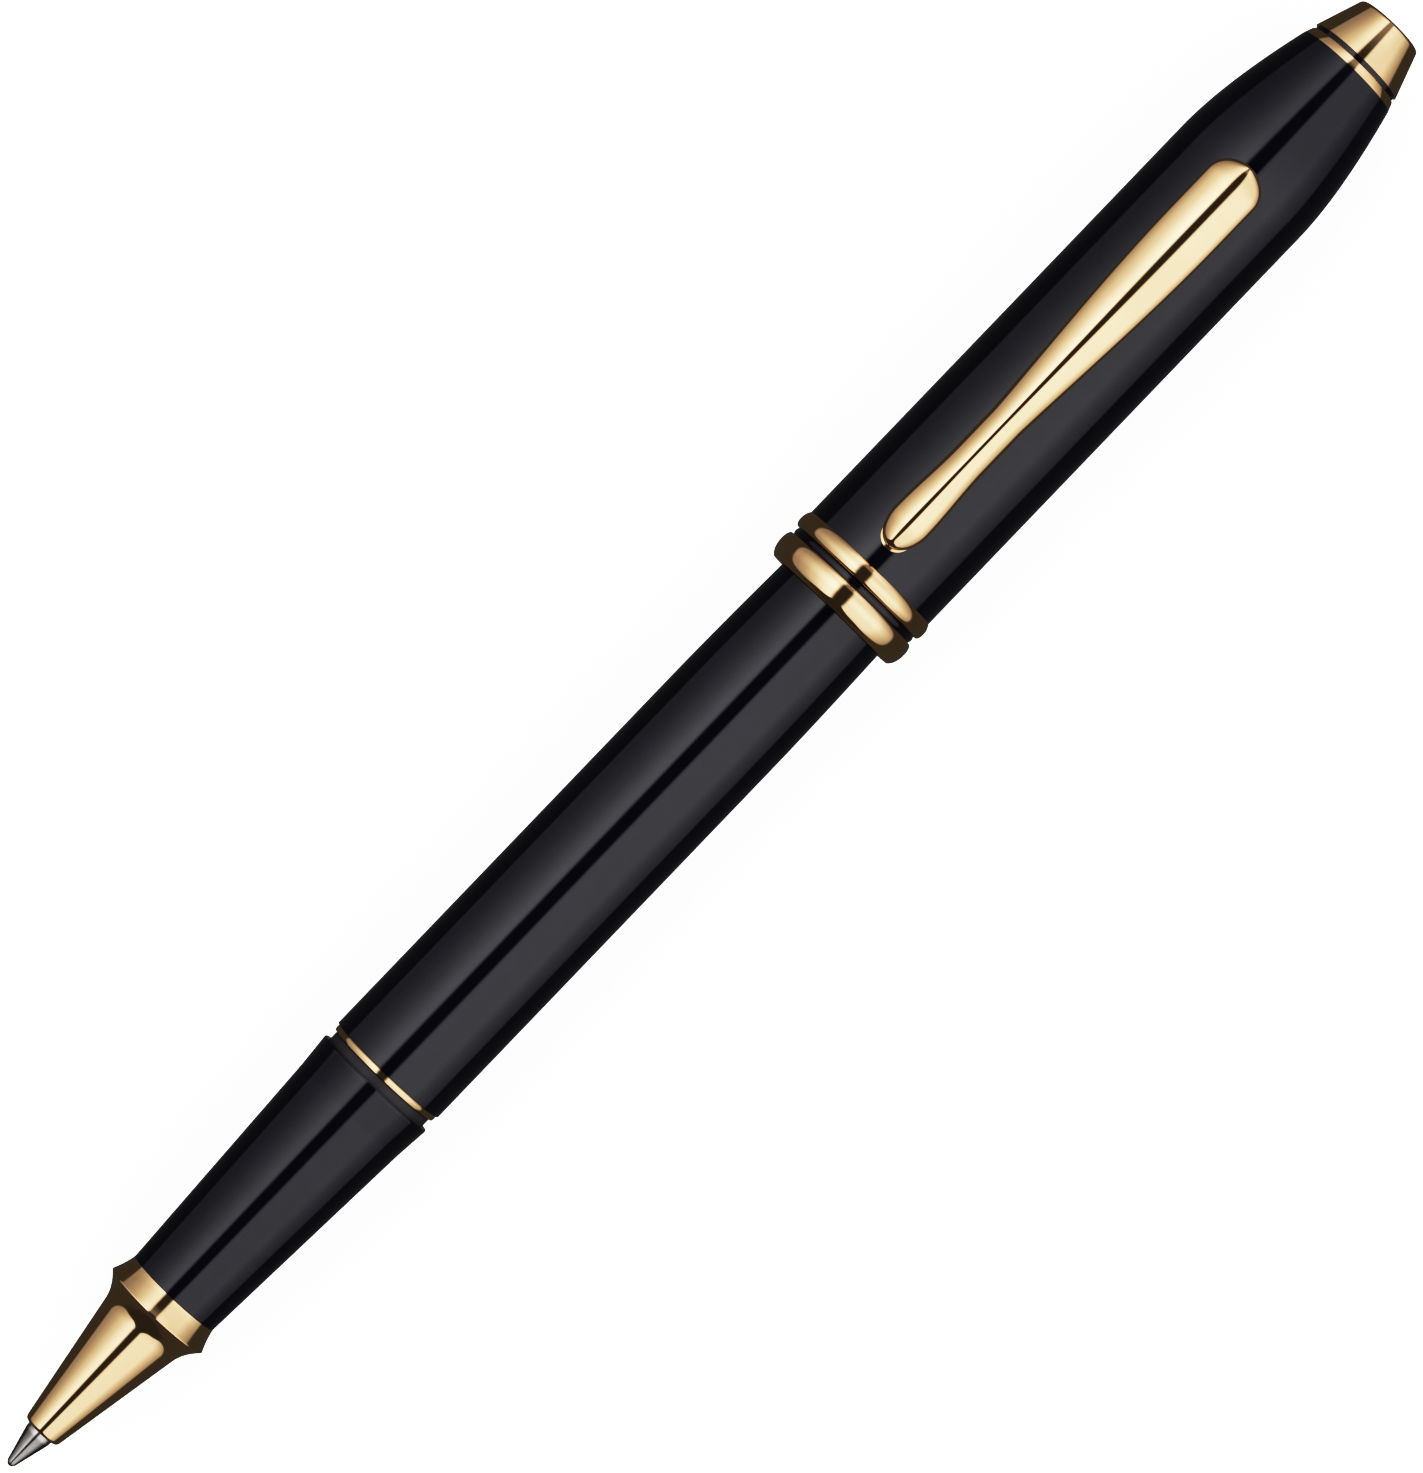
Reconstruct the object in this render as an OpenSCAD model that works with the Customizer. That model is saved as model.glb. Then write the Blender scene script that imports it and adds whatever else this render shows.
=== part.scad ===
// Rollerball pen, lying along X with its posted cap towards +X and its clip on top.
// Every turned piece is drawn as [radius, distance from the writing tip] and swung about the pen's axis.
// The origin lies under the middle of the pen, on the surface that the widest band rests on.

/* [Refill] */
// Diameter of the writing ball
ball_d = 0.7; // [0.5:0.1:1]
// Diameter of the refill's steel tip
tip_d = 2.32; // [2.1:0.01:2.8]
// Length of the steel tip's cone
tip_cone_l = 2.83; // [2:0.01:3.2]
// Length of the steel tip
tip_l = 14; // [12:0.5:16]
// How far the tip stands out of the nose cone
tip_out = 3.6; // [3.4:0.05:4.4]
// Diameter of the ink way through the tip
tip_bore_d = 1.2; // [0.8:0.1:1.4]
// Diameter of the slim feed that carries the tip
feed_d = 4; // [3.6:0.1:4.8]
// Diameter of the refill tube
refill_d = 6; // [5.6:0.1:7.2]
// Wall of the refill tube
refill_wall = 0.6; // [0.4:0.05:0.8]
// Length of the refill from the ball to its rear face
refill_l = 110.5; // [95:0.5:133]
// Length of the ink column
ink_l = 58; // [20:1:60]
// Length of the grease follower behind the ink
follower_l = 6; // [3:0.5:8]

/* [Spring] */
// Length of the spring as fitted
spring_l = 11; // [9:0.5:14]
// Diameter over the coils
spring_d = 5; // [4.6:0.1:5.2]
// Diameter of the wire
wire_d = 0.4; // [0.3:0.05:0.5]
// Number of turns
spring_turns = 8; // [6:1:10]

/* [Nose cone] */
// Length of the gold nose cone that shows
nose_l = 14.85; // [13.5:0.05:18]
// Diameter of its front edge
nose_mouth_d = 3.4; // [3.3:0.05:4]
// Diameter at the foot of its straight slope
nose_waist_d = 7.14; // [6.8:0.02:8.4]
// Diameter of its sharp rim
nose_rim_d = 9.48; // [9:0.02:11.4]
// Length of its spigot inside the grip
nose_spigot_l = 5.95; // [4:0.05:7.2]
// Diameter of its spigot
nose_spigot_d = 7.2; // [6.6:0.1:7.4]

/* [Grip section] */
// Length of the grip
grip_l = 22.45; // [20:0.05:27]
// Diameter of the grip behind the nose cone
grip_front_d = 8.3; // [8.1:0.05:10]
// How far the grip's rear edge stands proud of the barrel
grip_flare = 0.05; // [0:0.01:0.1]
// Length of the neck that the cap clicks on
neck_l = 0.8; // [0.7:0.05:1.2]
// How deep the threaded coupler sits in the grip
coupler_in_l = 7.7; // [5:0.1:9]
// Length of the coupler's thread
thread_l = 7.5; // [5:0.5:9]

/* [Barrel] */
// Diameter of the barrel
barrel_d = 10.62; // [10.4:0.02:12.8]
// Wall of the barrel tube
barrel_wall = 0.45; // [0.35:0.05:0.6]
// Length of the gold ring at the barrel's front
ring_l = 0.5; // [0.3:0.05:0.8]
// How far the gold ring stays below the barrel's surface
ring_drop = 0.14; // [0.05:0.01:0.2]
// Wall of the threaded bushing
bushing_wall = 0.51; // [0.4:0.01:0.6]
// Length of the threaded bushing
bushing_l = 9.2; // [8.5:0.1:11]
// Length of the barrel's tapered tail
taper_l = 46.5; // [40:0.5:55]
// Diameter of the barrel at its rear end
tail_d = 6.82; // [6.4:0.02:7.4]
// Length of the tail plug's spigot
tail_spigot_l = 5; // [4:0.5:7]
// Length of the tail plug's rounded head
tail_head_l = 2.5; // [2:0.1:3]

/* [Cap] */
// Wall of the cap tube
cap_wall = 0.45; // [0.35:0.05:0.6]
// Length of the cap tube
cap_l = 53; // [52:0.5:64]
// Length of the cap's rounded taper
cap_taper_l = 11.75; // [10:0.25:12.5]
// Diameter of the cap tube at its narrow end
cap_top_d = 8.98; // [8.6:0.02:10]
// Wall of the sleeve that carries the bands
sleeve_wall = 0.37; // [0.3:0.01:0.5]
// How deep the sleeve reaches into the cap tube
sleeve_in_l = 4; // [3:0.5:6]
// Length of the wide band at the cap's mouth
band_l = 2.25; // [2:0.05:3]
// How far the wide band stands proud of the cap tube
band_proud = 0.29; // [0.2:0.01:0.4]
// Length of the dark ring between the bands
spacer_l = 0.7; // [0.5:0.05:1]
// How far the dark ring stays below the cap tube
spacer_drop = 0.09; // [0.05:0.01:0.15]
// Length of the narrow band
upper_band_l = 1.5; // [1.2:0.05:2]
// How far the narrow band stands proud of the cap tube
upper_band_proud = 0.27; // [0.2:0.01:0.4]
// How far the liner's front face lies behind the cap's mouth
liner_in = 26; // [24:0.5:32]
// Length of the liner's wide bore, which takes the tail
liner_wide_l = 12.1; // [11.5:0.1:15]
// Length of the liner's narrow bore, which clears the writing tip
liner_tip_l = 5.4; // [5.2:0.1:7]
// Wall of the liner
liner_wall = 0.5; // [0.4:0.05:0.6]
// Length of the top insert
insert_l = 10; // [8:0.5:10.5]

/* [Finial] */
// Length of the gold ring under the finial
finial_ring_l = 0.75; // [0.5:0.05:1.2]
// Length of the dark groove below the finial
groove_l = 0.35; // [0.2:0.05:0.6]
// Length of the finial
finial_l = 3.85; // [3:0.05:5]
// Diameter of the finial at its foot
finial_d = 8.42; // [8:0.02:8.8]
// Diameter of the finial's flat top
finial_top_d = 5.2; // [4.8:0.1:5.6]
// Diameter of the stud that holds the finial
stud_d = 3; // [2:0.1:3.6]

/* [Clip] */
// Width of the clip's head
clip_head_w = 4.65; // [4:0.05:5.6]
// Width of the clip at its waist
clip_waist_w = 2.8; // [2.4:0.05:3.4]
// Width of the clip's lower end
clip_end_w = 3.31; // [3:0.01:4]
// Height of the clip's crown over its edges
clip_crown = 0.9; // [0.6:0.05:1.1]
// Thickness of the clip's edge
clip_edge = 0.35; // [0.25:0.05:0.5]
// How far the clip stands off the cap along its arm
clip_lift = 0.85; // [0.75:0.05:1.2]
// How far the clip's head reaches behind its pin
clip_head_l = 4.95; // [4.5:0.05:5.2]
// Width of the clip's foot
foot_w = 3; // [2.4:0.1:3.2]
// Length of the clip's foot along the pen
foot_l = 2.6; // [2.2:0.1:2.8]
// Diameter of the clip's hinge pin
pin_d = 0.7; // [0.6:0.05:0.85]
// Thickness of the leaf spring
leaf_t = 0.15; // [0.1:0.01:0.2]

/* [Fits] */
// Running clearance around a pin, a ball or a guided tip
run_clear = 0.03; // [0.02:0.01:0.06]
// Clearance of the screwed joint
thread_clear = 0.1; // [0.08:0.01:0.15]
// Film of glue or press fit between pieces of one body
glue_gap = 0.02; // [0:0.01:0.04]
// Clearance around the loose refill
refill_clear = 0.15; // [0.1:0.01:0.25]
// Clearance between the cap's mouth and the grip's rear edge
mouth_clear = 0.09; // [0.07:0.01:0.15]
// Clearance between the liner and the barrel's tail
post_clear = 0.06; // [0.04:0.01:0.1]
// Gap between end faces that meet
face_gap = 0.05; // [0.03:0.01:0.1]
// Gap between the clip's lower end and the cap
touch_gap = 0.06; // [0.04:0.01:0.1]

/* [Hidden] */
$fn = 96;

LACQUER = [0.03, 0.03, 0.05];
GOLD = [0.87, 0.68, 0.34];
STEEL = [0.62, 0.62, 0.64];
BRASS = [0.75, 0.6, 0.3];
PLASTIC = [0.16, 0.16, 0.18];
CLEAR_PLASTIC = [0.8, 0.83, 0.85];
INK = [0.05, 0.05, 0.12];
GREASE = [0.85, 0.8, 0.6];

// Points along a curve, and how far a cutting tool runs past a face
CURVE_STEPS = 8;
OVERRUN = 1;

// Places along the pen, counted from the front of the ball
nose_s = tip_out;
grip_s = nose_s + nose_l;
spigot_end_s = grip_s + nose_spigot_l;
seat_s = spigot_end_s + face_gap;
step_s = grip_s + grip_l;
neck_end_s = step_s + neck_l;
ring_s = neck_end_s + face_gap;
barrel_s = ring_s + ring_l;
plug_face_s = refill_l + spring_l;
barrel_end_s = plug_face_s + tail_spigot_l;
taper_s = barrel_end_s - taper_l;
tail_end_s = barrel_end_s + tail_head_l;
// The posted tail stops this far short of the end of the liner's wide bore
TAIL_GAP = 0.6;
mouth_s = tail_end_s - liner_in - liner_wide_l + TAIL_GAP;
spacer_s = mouth_s + band_l;
upper_band_s = spacer_s + spacer_l;
cap_s = upper_band_s + upper_band_l;
cap_end_s = cap_s + cap_l;
cap_taper_s = cap_end_s - cap_taper_l;
groove_s = cap_end_s + finial_ring_l;
finial_s = groove_s + groove_l;
pen_l = finial_s + finial_l;

// Radii of the barrel and of what fits in it
barrel_r = barrel_d / 2;
barrel_in_r = barrel_r - barrel_wall;
tail_r = tail_d / 2;
tail_in_r = tail_r - barrel_wall;
bushing_in_r = barrel_in_r - bushing_wall;
THREAD_SHOULDER = 0.25;
thread_r = bushing_in_r - thread_clear;
coupler_r = thread_r - THREAD_SHOULDER;
refill_r = refill_d / 2;
refill_in_r = refill_r - refill_wall;
feed_r = feed_d / 2;
tip_r = tip_d / 2;
nose_spigot_r = nose_spigot_d / 2;

// Radii of the cap, built up outwards from the edge that its mouth passes over
grip_rear_r = barrel_r + grip_flare;
mouth_r = grip_rear_r + mouth_clear;
cap_in_r = mouth_r + sleeve_wall;
cap_r = cap_in_r + cap_wall;
cap_top_r = cap_top_d / 2;
band_r = cap_r + band_proud;
axis_h = band_r;
neck_r = barrel_in_r + face_gap;

// The barrel narrows slowly at first and faster towards its end
TAPER_POWER = 1.6;
function barrel_r_at(s) = s <= taper_s ? barrel_r
    : barrel_r - (barrel_r - tail_r) * pow((s - taper_s) / taper_l, TAPER_POWER);

// Points from a to c along a curve whose end tangents meet in b
function curve(a, b, c, n = CURVE_STEPS) = [
    for (i = [0 : n]) let (t = i / n) (1 - t) * (1 - t) * a + 2 * t * (1 - t) * b + t * t * c
];

// A step that rises smoothly from 0 to 1
function smooth(t) = t <= 0 ? 0 : t >= 1 ? 1 : t * t * (3 - 2 * t);

function backwards(points) = [for (i = [len(points) - 1 : -1 : 0]) points[i]];

// Stands the pen's own frame, where Z runs along the pen and X points at the clip, in the part's frame
module pen() {
    translate([-pen_l / 2, 0, axis_h]) rotate([0, 90, 0]) rotate([0, 0, 180]) children();
}

// A solid of revolution from an outline of [radius, distance from the tip]
module turned(outline) {
    pen() rotate_extrude() polygon(outline);
}

// A plain ring or tube
module ring(inner_r, outer_r, from_s, to_s) {
    turned([[inner_r, from_s], [outer_r, from_s], [outer_r, to_s], [inner_r, to_s]]);
}

// ---- Refill ----

// The ball's crimped seat starts just in front of its equator
TIP_FRONT = 0.27;
TIP_FRONT_R = 0.4;
SEAT_BORE_D = 0.3;
tip_shoulder_s = TIP_FRONT + tip_cone_l;
FEED_DEPTH = 4.3;
feed_s = tip_l - FEED_DEPTH;
FEED_HEAD_L = 1.5;
FEED_SPIGOT_L = 3;
tube_s = seat_s + FEED_HEAD_L;
ink_s = tube_s + FEED_SPIGOT_L;
follower_s = ink_s + ink_l;
ink_way_r = tip_bore_d / 2;
END_PLUG_HEAD_L = 1.5;
END_PLUG_IN_L = 4;
SPRING_NIB_L = 1.5;
SPRING_NIB_CLEAR = 0.2;

module refill_ball() {
    color(STEEL) pen() translate([0, 0, ball_d / 2]) sphere(d = ball_d);
}

// Steel tip: its cone ends in the rim that keeps the ball, and its shank runs back into the feed
module refill_tip() {
    color(STEEL) difference() {
        turned([
            [0, TIP_FRONT], [TIP_FRONT_R, TIP_FRONT], [tip_r, tip_shoulder_s], [tip_r, tip_l], [0, tip_l]
        ]);
        pen() translate([0, 0, ball_d / 2]) sphere(r = ball_d / 2 + run_clear);
        pen() translate([0, 0, ball_d / 2]) cylinder(d = SEAT_BORE_D, h = tip_cone_l);
        pen() translate([0, 0, ball_d + tip_cone_l / 2]) cylinder(r = ink_way_r, h = tip_l);
    }
}

// Slim plastic feed: it grips the tip, seats on the nose cone's spigot and plugs the tube
module refill_feed() {
    spigot_r = refill_in_r - glue_gap;
    color(PLASTIC) turned([
        [tip_r, feed_s], [feed_r, feed_s], [feed_r, seat_s], [refill_r, seat_s], [refill_r, tube_s],
        [spigot_r, tube_s], [spigot_r, ink_s], [ink_way_r, ink_s], [ink_way_r, tip_l], [tip_r, tip_l]
    ]);
}

module refill_tube() {
    color(CLEAR_PLASTIC) ring(refill_in_r, refill_r, tube_s, refill_l - END_PLUG_HEAD_L);
}

module ink_column() {
    color(INK) ring(0, refill_in_r, ink_s, follower_s);
}

module ink_follower() {
    color(GREASE) ring(0, refill_in_r, follower_s, follower_s + follower_l);
}

// Rear plug, vented through its middle, with a nib that centres the spring
module refill_end_plug() {
    head_s = refill_l - END_PLUG_HEAD_L;
    spigot_r = refill_in_r - glue_gap;
    nib_r = spring_d / 2 - wire_d - SPRING_NIB_CLEAR;
    color(PLASTIC) turned([
        [ink_way_r, head_s - END_PLUG_IN_L], [spigot_r, head_s - END_PLUG_IN_L], [spigot_r, head_s],
        [refill_r, head_s], [refill_r, refill_l], [nib_r, refill_l],
        [nib_r, refill_l + SPRING_NIB_L], [ink_way_r, refill_l + SPRING_NIB_L]
    ]);
}

// ---- Barrel ----

EDGE = 0.06;
TAPER_STEPS = 14;
TAIL_SEAT_L = 2;

// Points of the barrel's taper, set in from its surface
function taper_points(inset, to_s) = [
    for (i = [0 : TAPER_STEPS]) let (s = taper_s + (to_s - taper_s) * i / TAPER_STEPS)
    [barrel_r_at(s) - inset, s]
];

module barrel_tube() {
    seat_from_s = barrel_end_s - TAIL_SEAT_L;
    color(LACQUER) turned(concat(
        [[barrel_in_r, barrel_s], [barrel_r - EDGE, barrel_s], [barrel_r, barrel_s + EDGE]],
        taper_points(0, barrel_end_s),
        [[tail_in_r, barrel_end_s], [tail_in_r, seat_from_s]],
        backwards(taper_points(barrel_wall, seat_from_s))
    ));
}

// Gold ring with a slightly rounded outside, a little below the barrel's surface
RING_CROWN = 0.05;

module barrel_ring() {
    ring_r = barrel_r - ring_drop;
    inner_r = barrel_in_r + glue_gap;
    color(GOLD) turned(concat(
        [[inner_r, ring_s]],
        curve([ring_r - RING_CROWN, ring_s], [ring_r + RING_CROWN, (ring_s + barrel_s) / 2],
              [ring_r - RING_CROWN, barrel_s]),
        [[inner_r, barrel_s]]
    ));
}

// Brass bushing with the barrel's female thread, shown as its smooth land
module barrel_bushing() {
    from_s = ring_s + face_gap;
    color(BRASS) ring(bushing_in_r, barrel_in_r - glue_gap, from_s, from_s + bushing_l);
}

// Plug that closes the barrel's tail and backs the spring
TAIL_FLAT = 0.6;

module tail_plug() {
    head_flat_r = tail_r * TAIL_FLAT;
    color(GOLD) turned(concat(
        [[0, plug_face_s], [tail_in_r - glue_gap, plug_face_s], [tail_in_r - glue_gap, barrel_end_s]],
        curve([tail_r, barrel_end_s], [tail_r - EDGE, tail_end_s], [head_flat_r, tail_end_s]),
        [[0, tail_end_s]]
    ));
}

WIRE_SIDES = 6;
SEGMENTS = 14;
END_TURNS = 1;

// Rise of the wire after a number of turns: one flat turn at each end and an even pitch between
function wire_rise(turn, travel) =
    let (flat = wire_d, active = spring_turns - 2 * END_TURNS,
         pitch = (travel - 2 * END_TURNS * flat) / active)
    turn <= END_TURNS ? turn * flat
    : turn <= END_TURNS + active ? END_TURNS * flat + (turn - END_TURNS) * pitch
    : travel - (spring_turns - turn) * flat;

// Coil spring between the refill and the tail plug
module refill_spring() {
    wire_r = wire_d / 2;
    coil_r = spring_d / 2 - wire_r;
    travel = spring_l - wire_d - 2 * glue_gap;
    steps = spring_turns * SEGMENTS;
    from_s = refill_l + glue_gap + wire_r;
    points = [
        for (i = [0 : steps], j = [0 : WIRE_SIDES - 1])
        let (angle = 360 * i / SEGMENTS, side = 360 * (j + 0.5) / WIRE_SIDES,
             r = coil_r + wire_r * cos(side))
        [r * cos(angle), r * sin(angle),
         from_s + wire_rise(i / SEGMENTS, travel) + wire_r * sin(side)]
    ];
    sides = [
        for (i = [0 : steps - 1], j = [0 : WIRE_SIDES - 1])
        let (a = i * WIRE_SIDES + j, b = i * WIRE_SIDES + (j + 1) % WIRE_SIDES)
        [a, b, b + WIRE_SIDES, a + WIRE_SIDES]
    ];
    front = [for (j = [WIRE_SIDES - 1 : -1 : 0]) j];
    rear = [for (j = [0 : WIRE_SIDES - 1]) steps * WIRE_SIDES + j];
    color(STEEL) pen() polyhedron(points, concat(sides, [front, rear]));
}

// ---- Grip section ----

grip_bore_r = refill_r + refill_clear;
coupler_s = neck_end_s - coupler_in_l;
coupler_bore_r = refill_r + refill_clear + face_gap;
GRIP_CURVE_L = 2.9;
GRIP_CURVE_R = 0.24;

// Lacquered grip: nearly straight, with a last short sweep out to the barrel's size
module grip_section() {
    front_r = grip_front_d / 2;
    color(LACQUER) turned(concat(
        [[nose_spigot_r + glue_gap, grip_s], [front_r, grip_s]],
        curve(
            [grip_rear_r - GRIP_CURVE_R, step_s - GRIP_CURVE_L],
            [grip_rear_r - GRIP_CURVE_R / 2, step_s - GRIP_CURVE_L / 2],
            [grip_rear_r, step_s - 2 * EDGE]
        ),
        [[grip_rear_r - EDGE, step_s], [neck_r, step_s], [neck_r, neck_end_s],
         [coupler_r + glue_gap, neck_end_s], [coupler_r + glue_gap, coupler_s],
         [grip_bore_r, coupler_s], [grip_bore_r, spigot_end_s],
         [nose_spigot_r + glue_gap, spigot_end_s]]
    ));
}

NOSE_EDGE_R = 0.35;
// How far the sharp rim lies before the grip, and the length of the hollow in front of it
NOSE_RIM_BACK_L = 1.85;
NOSE_HOLLOW_L = 2.09;
RIM_LAND = 0.06;
// Where the hollows on either side of the rim turn: [further out or in, further along]
FRONT_HOLLOW = [0.18, 1.04];
REAR_HOLLOW = [-0.44, 0.95];
NOSE_NECK_L = 5.8;

// Gold nose cone, turned in one piece with its rim and its spigot
module nose_cone() {
    mouth = nose_mouth_d / 2;
    waist = nose_waist_d / 2;
    rim = nose_rim_d / 2;
    rim_s = grip_s - NOSE_RIM_BACK_L;
    hollow_s = rim_s - NOSE_HOLLOW_L;
    tip_bore = tip_r + run_clear * 2;
    feed_bore = feed_r + 2 * face_gap;
    neck_s = nose_s + NOSE_NECK_L;
    color(GOLD) turned(concat(
        [[tip_bore, nose_s]],
        curve([mouth - NOSE_EDGE_R, nose_s], [mouth - NOSE_EDGE_R / 5, nose_s],
              [mouth, nose_s + NOSE_EDGE_R]),
        curve([waist, hollow_s], [waist, hollow_s] + FRONT_HOLLOW, [rim, rim_s - RIM_LAND]),
        curve([rim, rim_s], [rim, rim_s] + REAR_HOLLOW, [grip_front_d / 2, grip_s]),
        [[nose_spigot_r, grip_s], [nose_spigot_r, spigot_end_s], [feed_bore, spigot_end_s],
         [feed_bore, neck_s], [tip_bore, neck_s - (feed_bore - tip_bore)]]
    ));
}

// Brass coupler pressed into the grip, with the male thread shown as its smooth land
module section_coupler() {
    land_s = neck_end_s + 2 * THREAD_SHOULDER;
    relief_r = thread_r - THREAD_SHOULDER / 2;
    end_s = land_s + thread_l;
    color(BRASS) turned([
        [coupler_bore_r, coupler_s], [coupler_r, coupler_s], [coupler_r, neck_end_s],
        [relief_r, neck_end_s], [relief_r, land_s], [thread_r, land_s],
        [thread_r, end_s - THREAD_SHOULDER], [thread_r - THREAD_SHOULDER, end_s],
        [coupler_bore_r, end_s]
    ]);
}

// ---- Cap ----

SNAP_BACK_L = 0.8;
SNAP_L = 0.8;
SNAP_GROOVE_DEPTH = 0.2;
SNAP_SPLIT = 1.6;
snap_s = mouth_s + SNAP_BACK_L;
groove_r = mouth_r + SNAP_GROOVE_DEPTH;

// How far a band's foot stands proud of the cap tube beside the dark ring, and stays below it at its ends
BAND_FOOT = 0.06;
MOUTH_DROP = 0.25;
UPPER_DROP = 0.02;
// Where each band's section turns and crests, as shares of its length
BAND_TURN = 0.19;
BAND_CREST = 0.64;
BAND_BACK = 0.89;
UPPER_TURN = 0.11;
UPPER_CREST = 0.4;
UPPER_BACK = 0.77;

// Wide gold band at the mouth, in one piece with the sleeve inside the cap tube
module mouth_band() {
    crest = [band_r, mouth_s + band_l * BAND_CREST];
    sleeve_r = cap_in_r - glue_gap;
    color(GOLD) turned(concat(
        [[mouth_r, mouth_s]],
        curve([cap_r - MOUTH_DROP, mouth_s], [band_r, mouth_s + band_l * BAND_TURN], crest),
        curve(crest, [band_r, mouth_s + band_l * BAND_BACK], [cap_r + BAND_FOOT, spacer_s]),
        [[sleeve_r, spacer_s], [sleeve_r, cap_s + sleeve_in_l], [mouth_r, cap_s + sleeve_in_l],
         [mouth_r, snap_s + SNAP_L + face_gap], [groove_r, snap_s + SNAP_L + face_gap],
         [groove_r, snap_s - face_gap], [mouth_r, snap_s - face_gap]]
    ));
}

// Split spring ring that clicks behind the grip's rear edge, and steadies the barrel when posted
module snap_ring() {
    color(STEEL) difference() {
        ring(barrel_r_at(snap_s) + post_clear, groove_r - face_gap, snap_s, snap_s + SNAP_L);
        pen() translate([-2 * cap_r, -SNAP_SPLIT / 2, snap_s - OVERRUN])
            cube([2 * cap_r, SNAP_SPLIT, SNAP_L + 2 * OVERRUN]);
    }
}

module band_spacer() {
    color(LACQUER) ring(cap_in_r, cap_r - spacer_drop, spacer_s, upper_band_s);
}

module upper_band() {
    crest_r = cap_r + upper_band_proud;
    crest = [crest_r, upper_band_s + upper_band_l * UPPER_CREST];
    color(GOLD) turned(concat(
        [[cap_in_r, upper_band_s]],
        curve([cap_r + BAND_FOOT, upper_band_s], [crest_r, upper_band_s + upper_band_l * UPPER_TURN], crest),
        curve(crest, [crest_r, upper_band_s + upper_band_l * UPPER_BACK], [cap_r - UPPER_DROP, cap_s]),
        [[cap_in_r, cap_s]]
    ));
}

// The cap's taper, set in from its surface, from a share t of the curve to its end
TAPER_KNEE = 4.6;
function cap_taper(inset, t = 0) =
    let (a = [cap_r - inset, cap_taper_s], b = a + [0, TAPER_KNEE], c = [cap_top_r - inset, cap_end_s])
    curve((1 - t) * (1 - t) * a + 2 * t * (1 - t) * b + t * t * c, (1 - t) * b + t * c, c);

// Places of the clip's hinge, and of the slot that its foot passes through
CARRIER_GAP = 0.8;
CARRIER_L = 5.2;
PIN_BACK_L = 2.2;
SLOT_CLEAR_S = 0.3;
SLOT_CLEAR_Y = 0.2;
carrier_s = mouth_s + liner_in + liner_wide_l + CARRIER_GAP;
pin_s = carrier_s + PIN_BACK_L;
slot_w = foot_w + 2 * SLOT_CLEAR_Y;
slot_l = foot_l + 2 * SLOT_CLEAR_S;

// What the clip's foot passes through, from below its hinge to above the cap
module foot_slot(from_h) {
    pen() translate([from_h, -slot_w / 2, pin_s - slot_l / 2])
        cube([cap_r + OVERRUN - from_h, slot_w, slot_l]);
}

module cap_tube() {
    color(LACQUER) difference() {
        turned(concat(
            [[cap_in_r, cap_s], [cap_r - EDGE, cap_s], [cap_r, cap_s + EDGE]],
            cap_taper(0),
            backwards(cap_taper(cap_wall))
        ));
        foot_slot(barrel_r);
    }
}

// Plastic liner: its front bore holds the posted tail and seals on the nose when capped
LINER_GRIP_L = 4;
LINER_HEAD_L = 9.5;
LINER_CHAMFER = 0.3;
LINER_END = 1.5;
LINER_STEP = 1.2;
liner_s = mouth_s + liner_in;
liner_step_s = liner_s + liner_wide_l;
liner_end_s = liner_step_s + liner_tip_l + LINER_END;
liner_wide_r = barrel_r_at(liner_s + LINER_GRIP_L) + 2 * post_clear;
liner_narrow_r = liner_wide_r - LINER_STEP;
liner_tip_r = liner_narrow_r + liner_wall;

module cap_liner() {
    grip_r = barrel_r_at(liner_s) + post_clear;
    head_r = cap_in_r - 2 * glue_gap;
    body_r = liner_wide_r + liner_wall;
    color(PLASTIC) turned([
        [grip_r, liner_s], [head_r, liner_s], [head_r, liner_s + LINER_HEAD_L],
        [body_r, liner_s + LINER_HEAD_L], [body_r, liner_step_s], [liner_tip_r, liner_step_s],
        [liner_tip_r, liner_end_s], [0, liner_end_s],
        [0, liner_end_s - LINER_END], [liner_narrow_r, liner_end_s - LINER_END],
        [liner_narrow_r, liner_step_s - LINER_CHAMFER], [liner_wide_r, liner_step_s - LINER_CHAMFER],
        [liner_wide_r, liner_s + LINER_GRIP_L]
    ]);
}

// Ring inside the cap that carries the clip's hinge
carrier_in_r = liner_tip_r + 3 * face_gap;
carrier_r = cap_in_r - 2 * glue_gap;
PIN_COVER = 0.88;
pin_h = carrier_r - PIN_COVER;

module clip_carrier() {
    color(BRASS) difference() {
        ring(carrier_in_r, carrier_r, carrier_s, carrier_s + CARRIER_L);
        foot_slot(liner_narrow_r);
        pin_at(pin_d / 2 + glue_gap / 2, 2 * cap_r);
    }
}

// A cylinder across the pen through the clip's hinge
module pin_at(r, length) {
    pen() translate([pin_h, 0, pin_s]) rotate([90, 0, 0]) cylinder(r = r, h = length, center = true);
}

module clip_pin() {
    half_l = sqrt(pow(carrier_r, 2) - pow(pin_h + pin_d / 2, 2));
    color(STEEL) pin_at(pin_d / 2, 2 * half_l);
}

// Bowed leaf that pushes the clip's heel up, so that its lower end stays on the cap
LEAF_W = 2.4;
LEAF_L = 3;
LEAF_BOW = 0.75;

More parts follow.
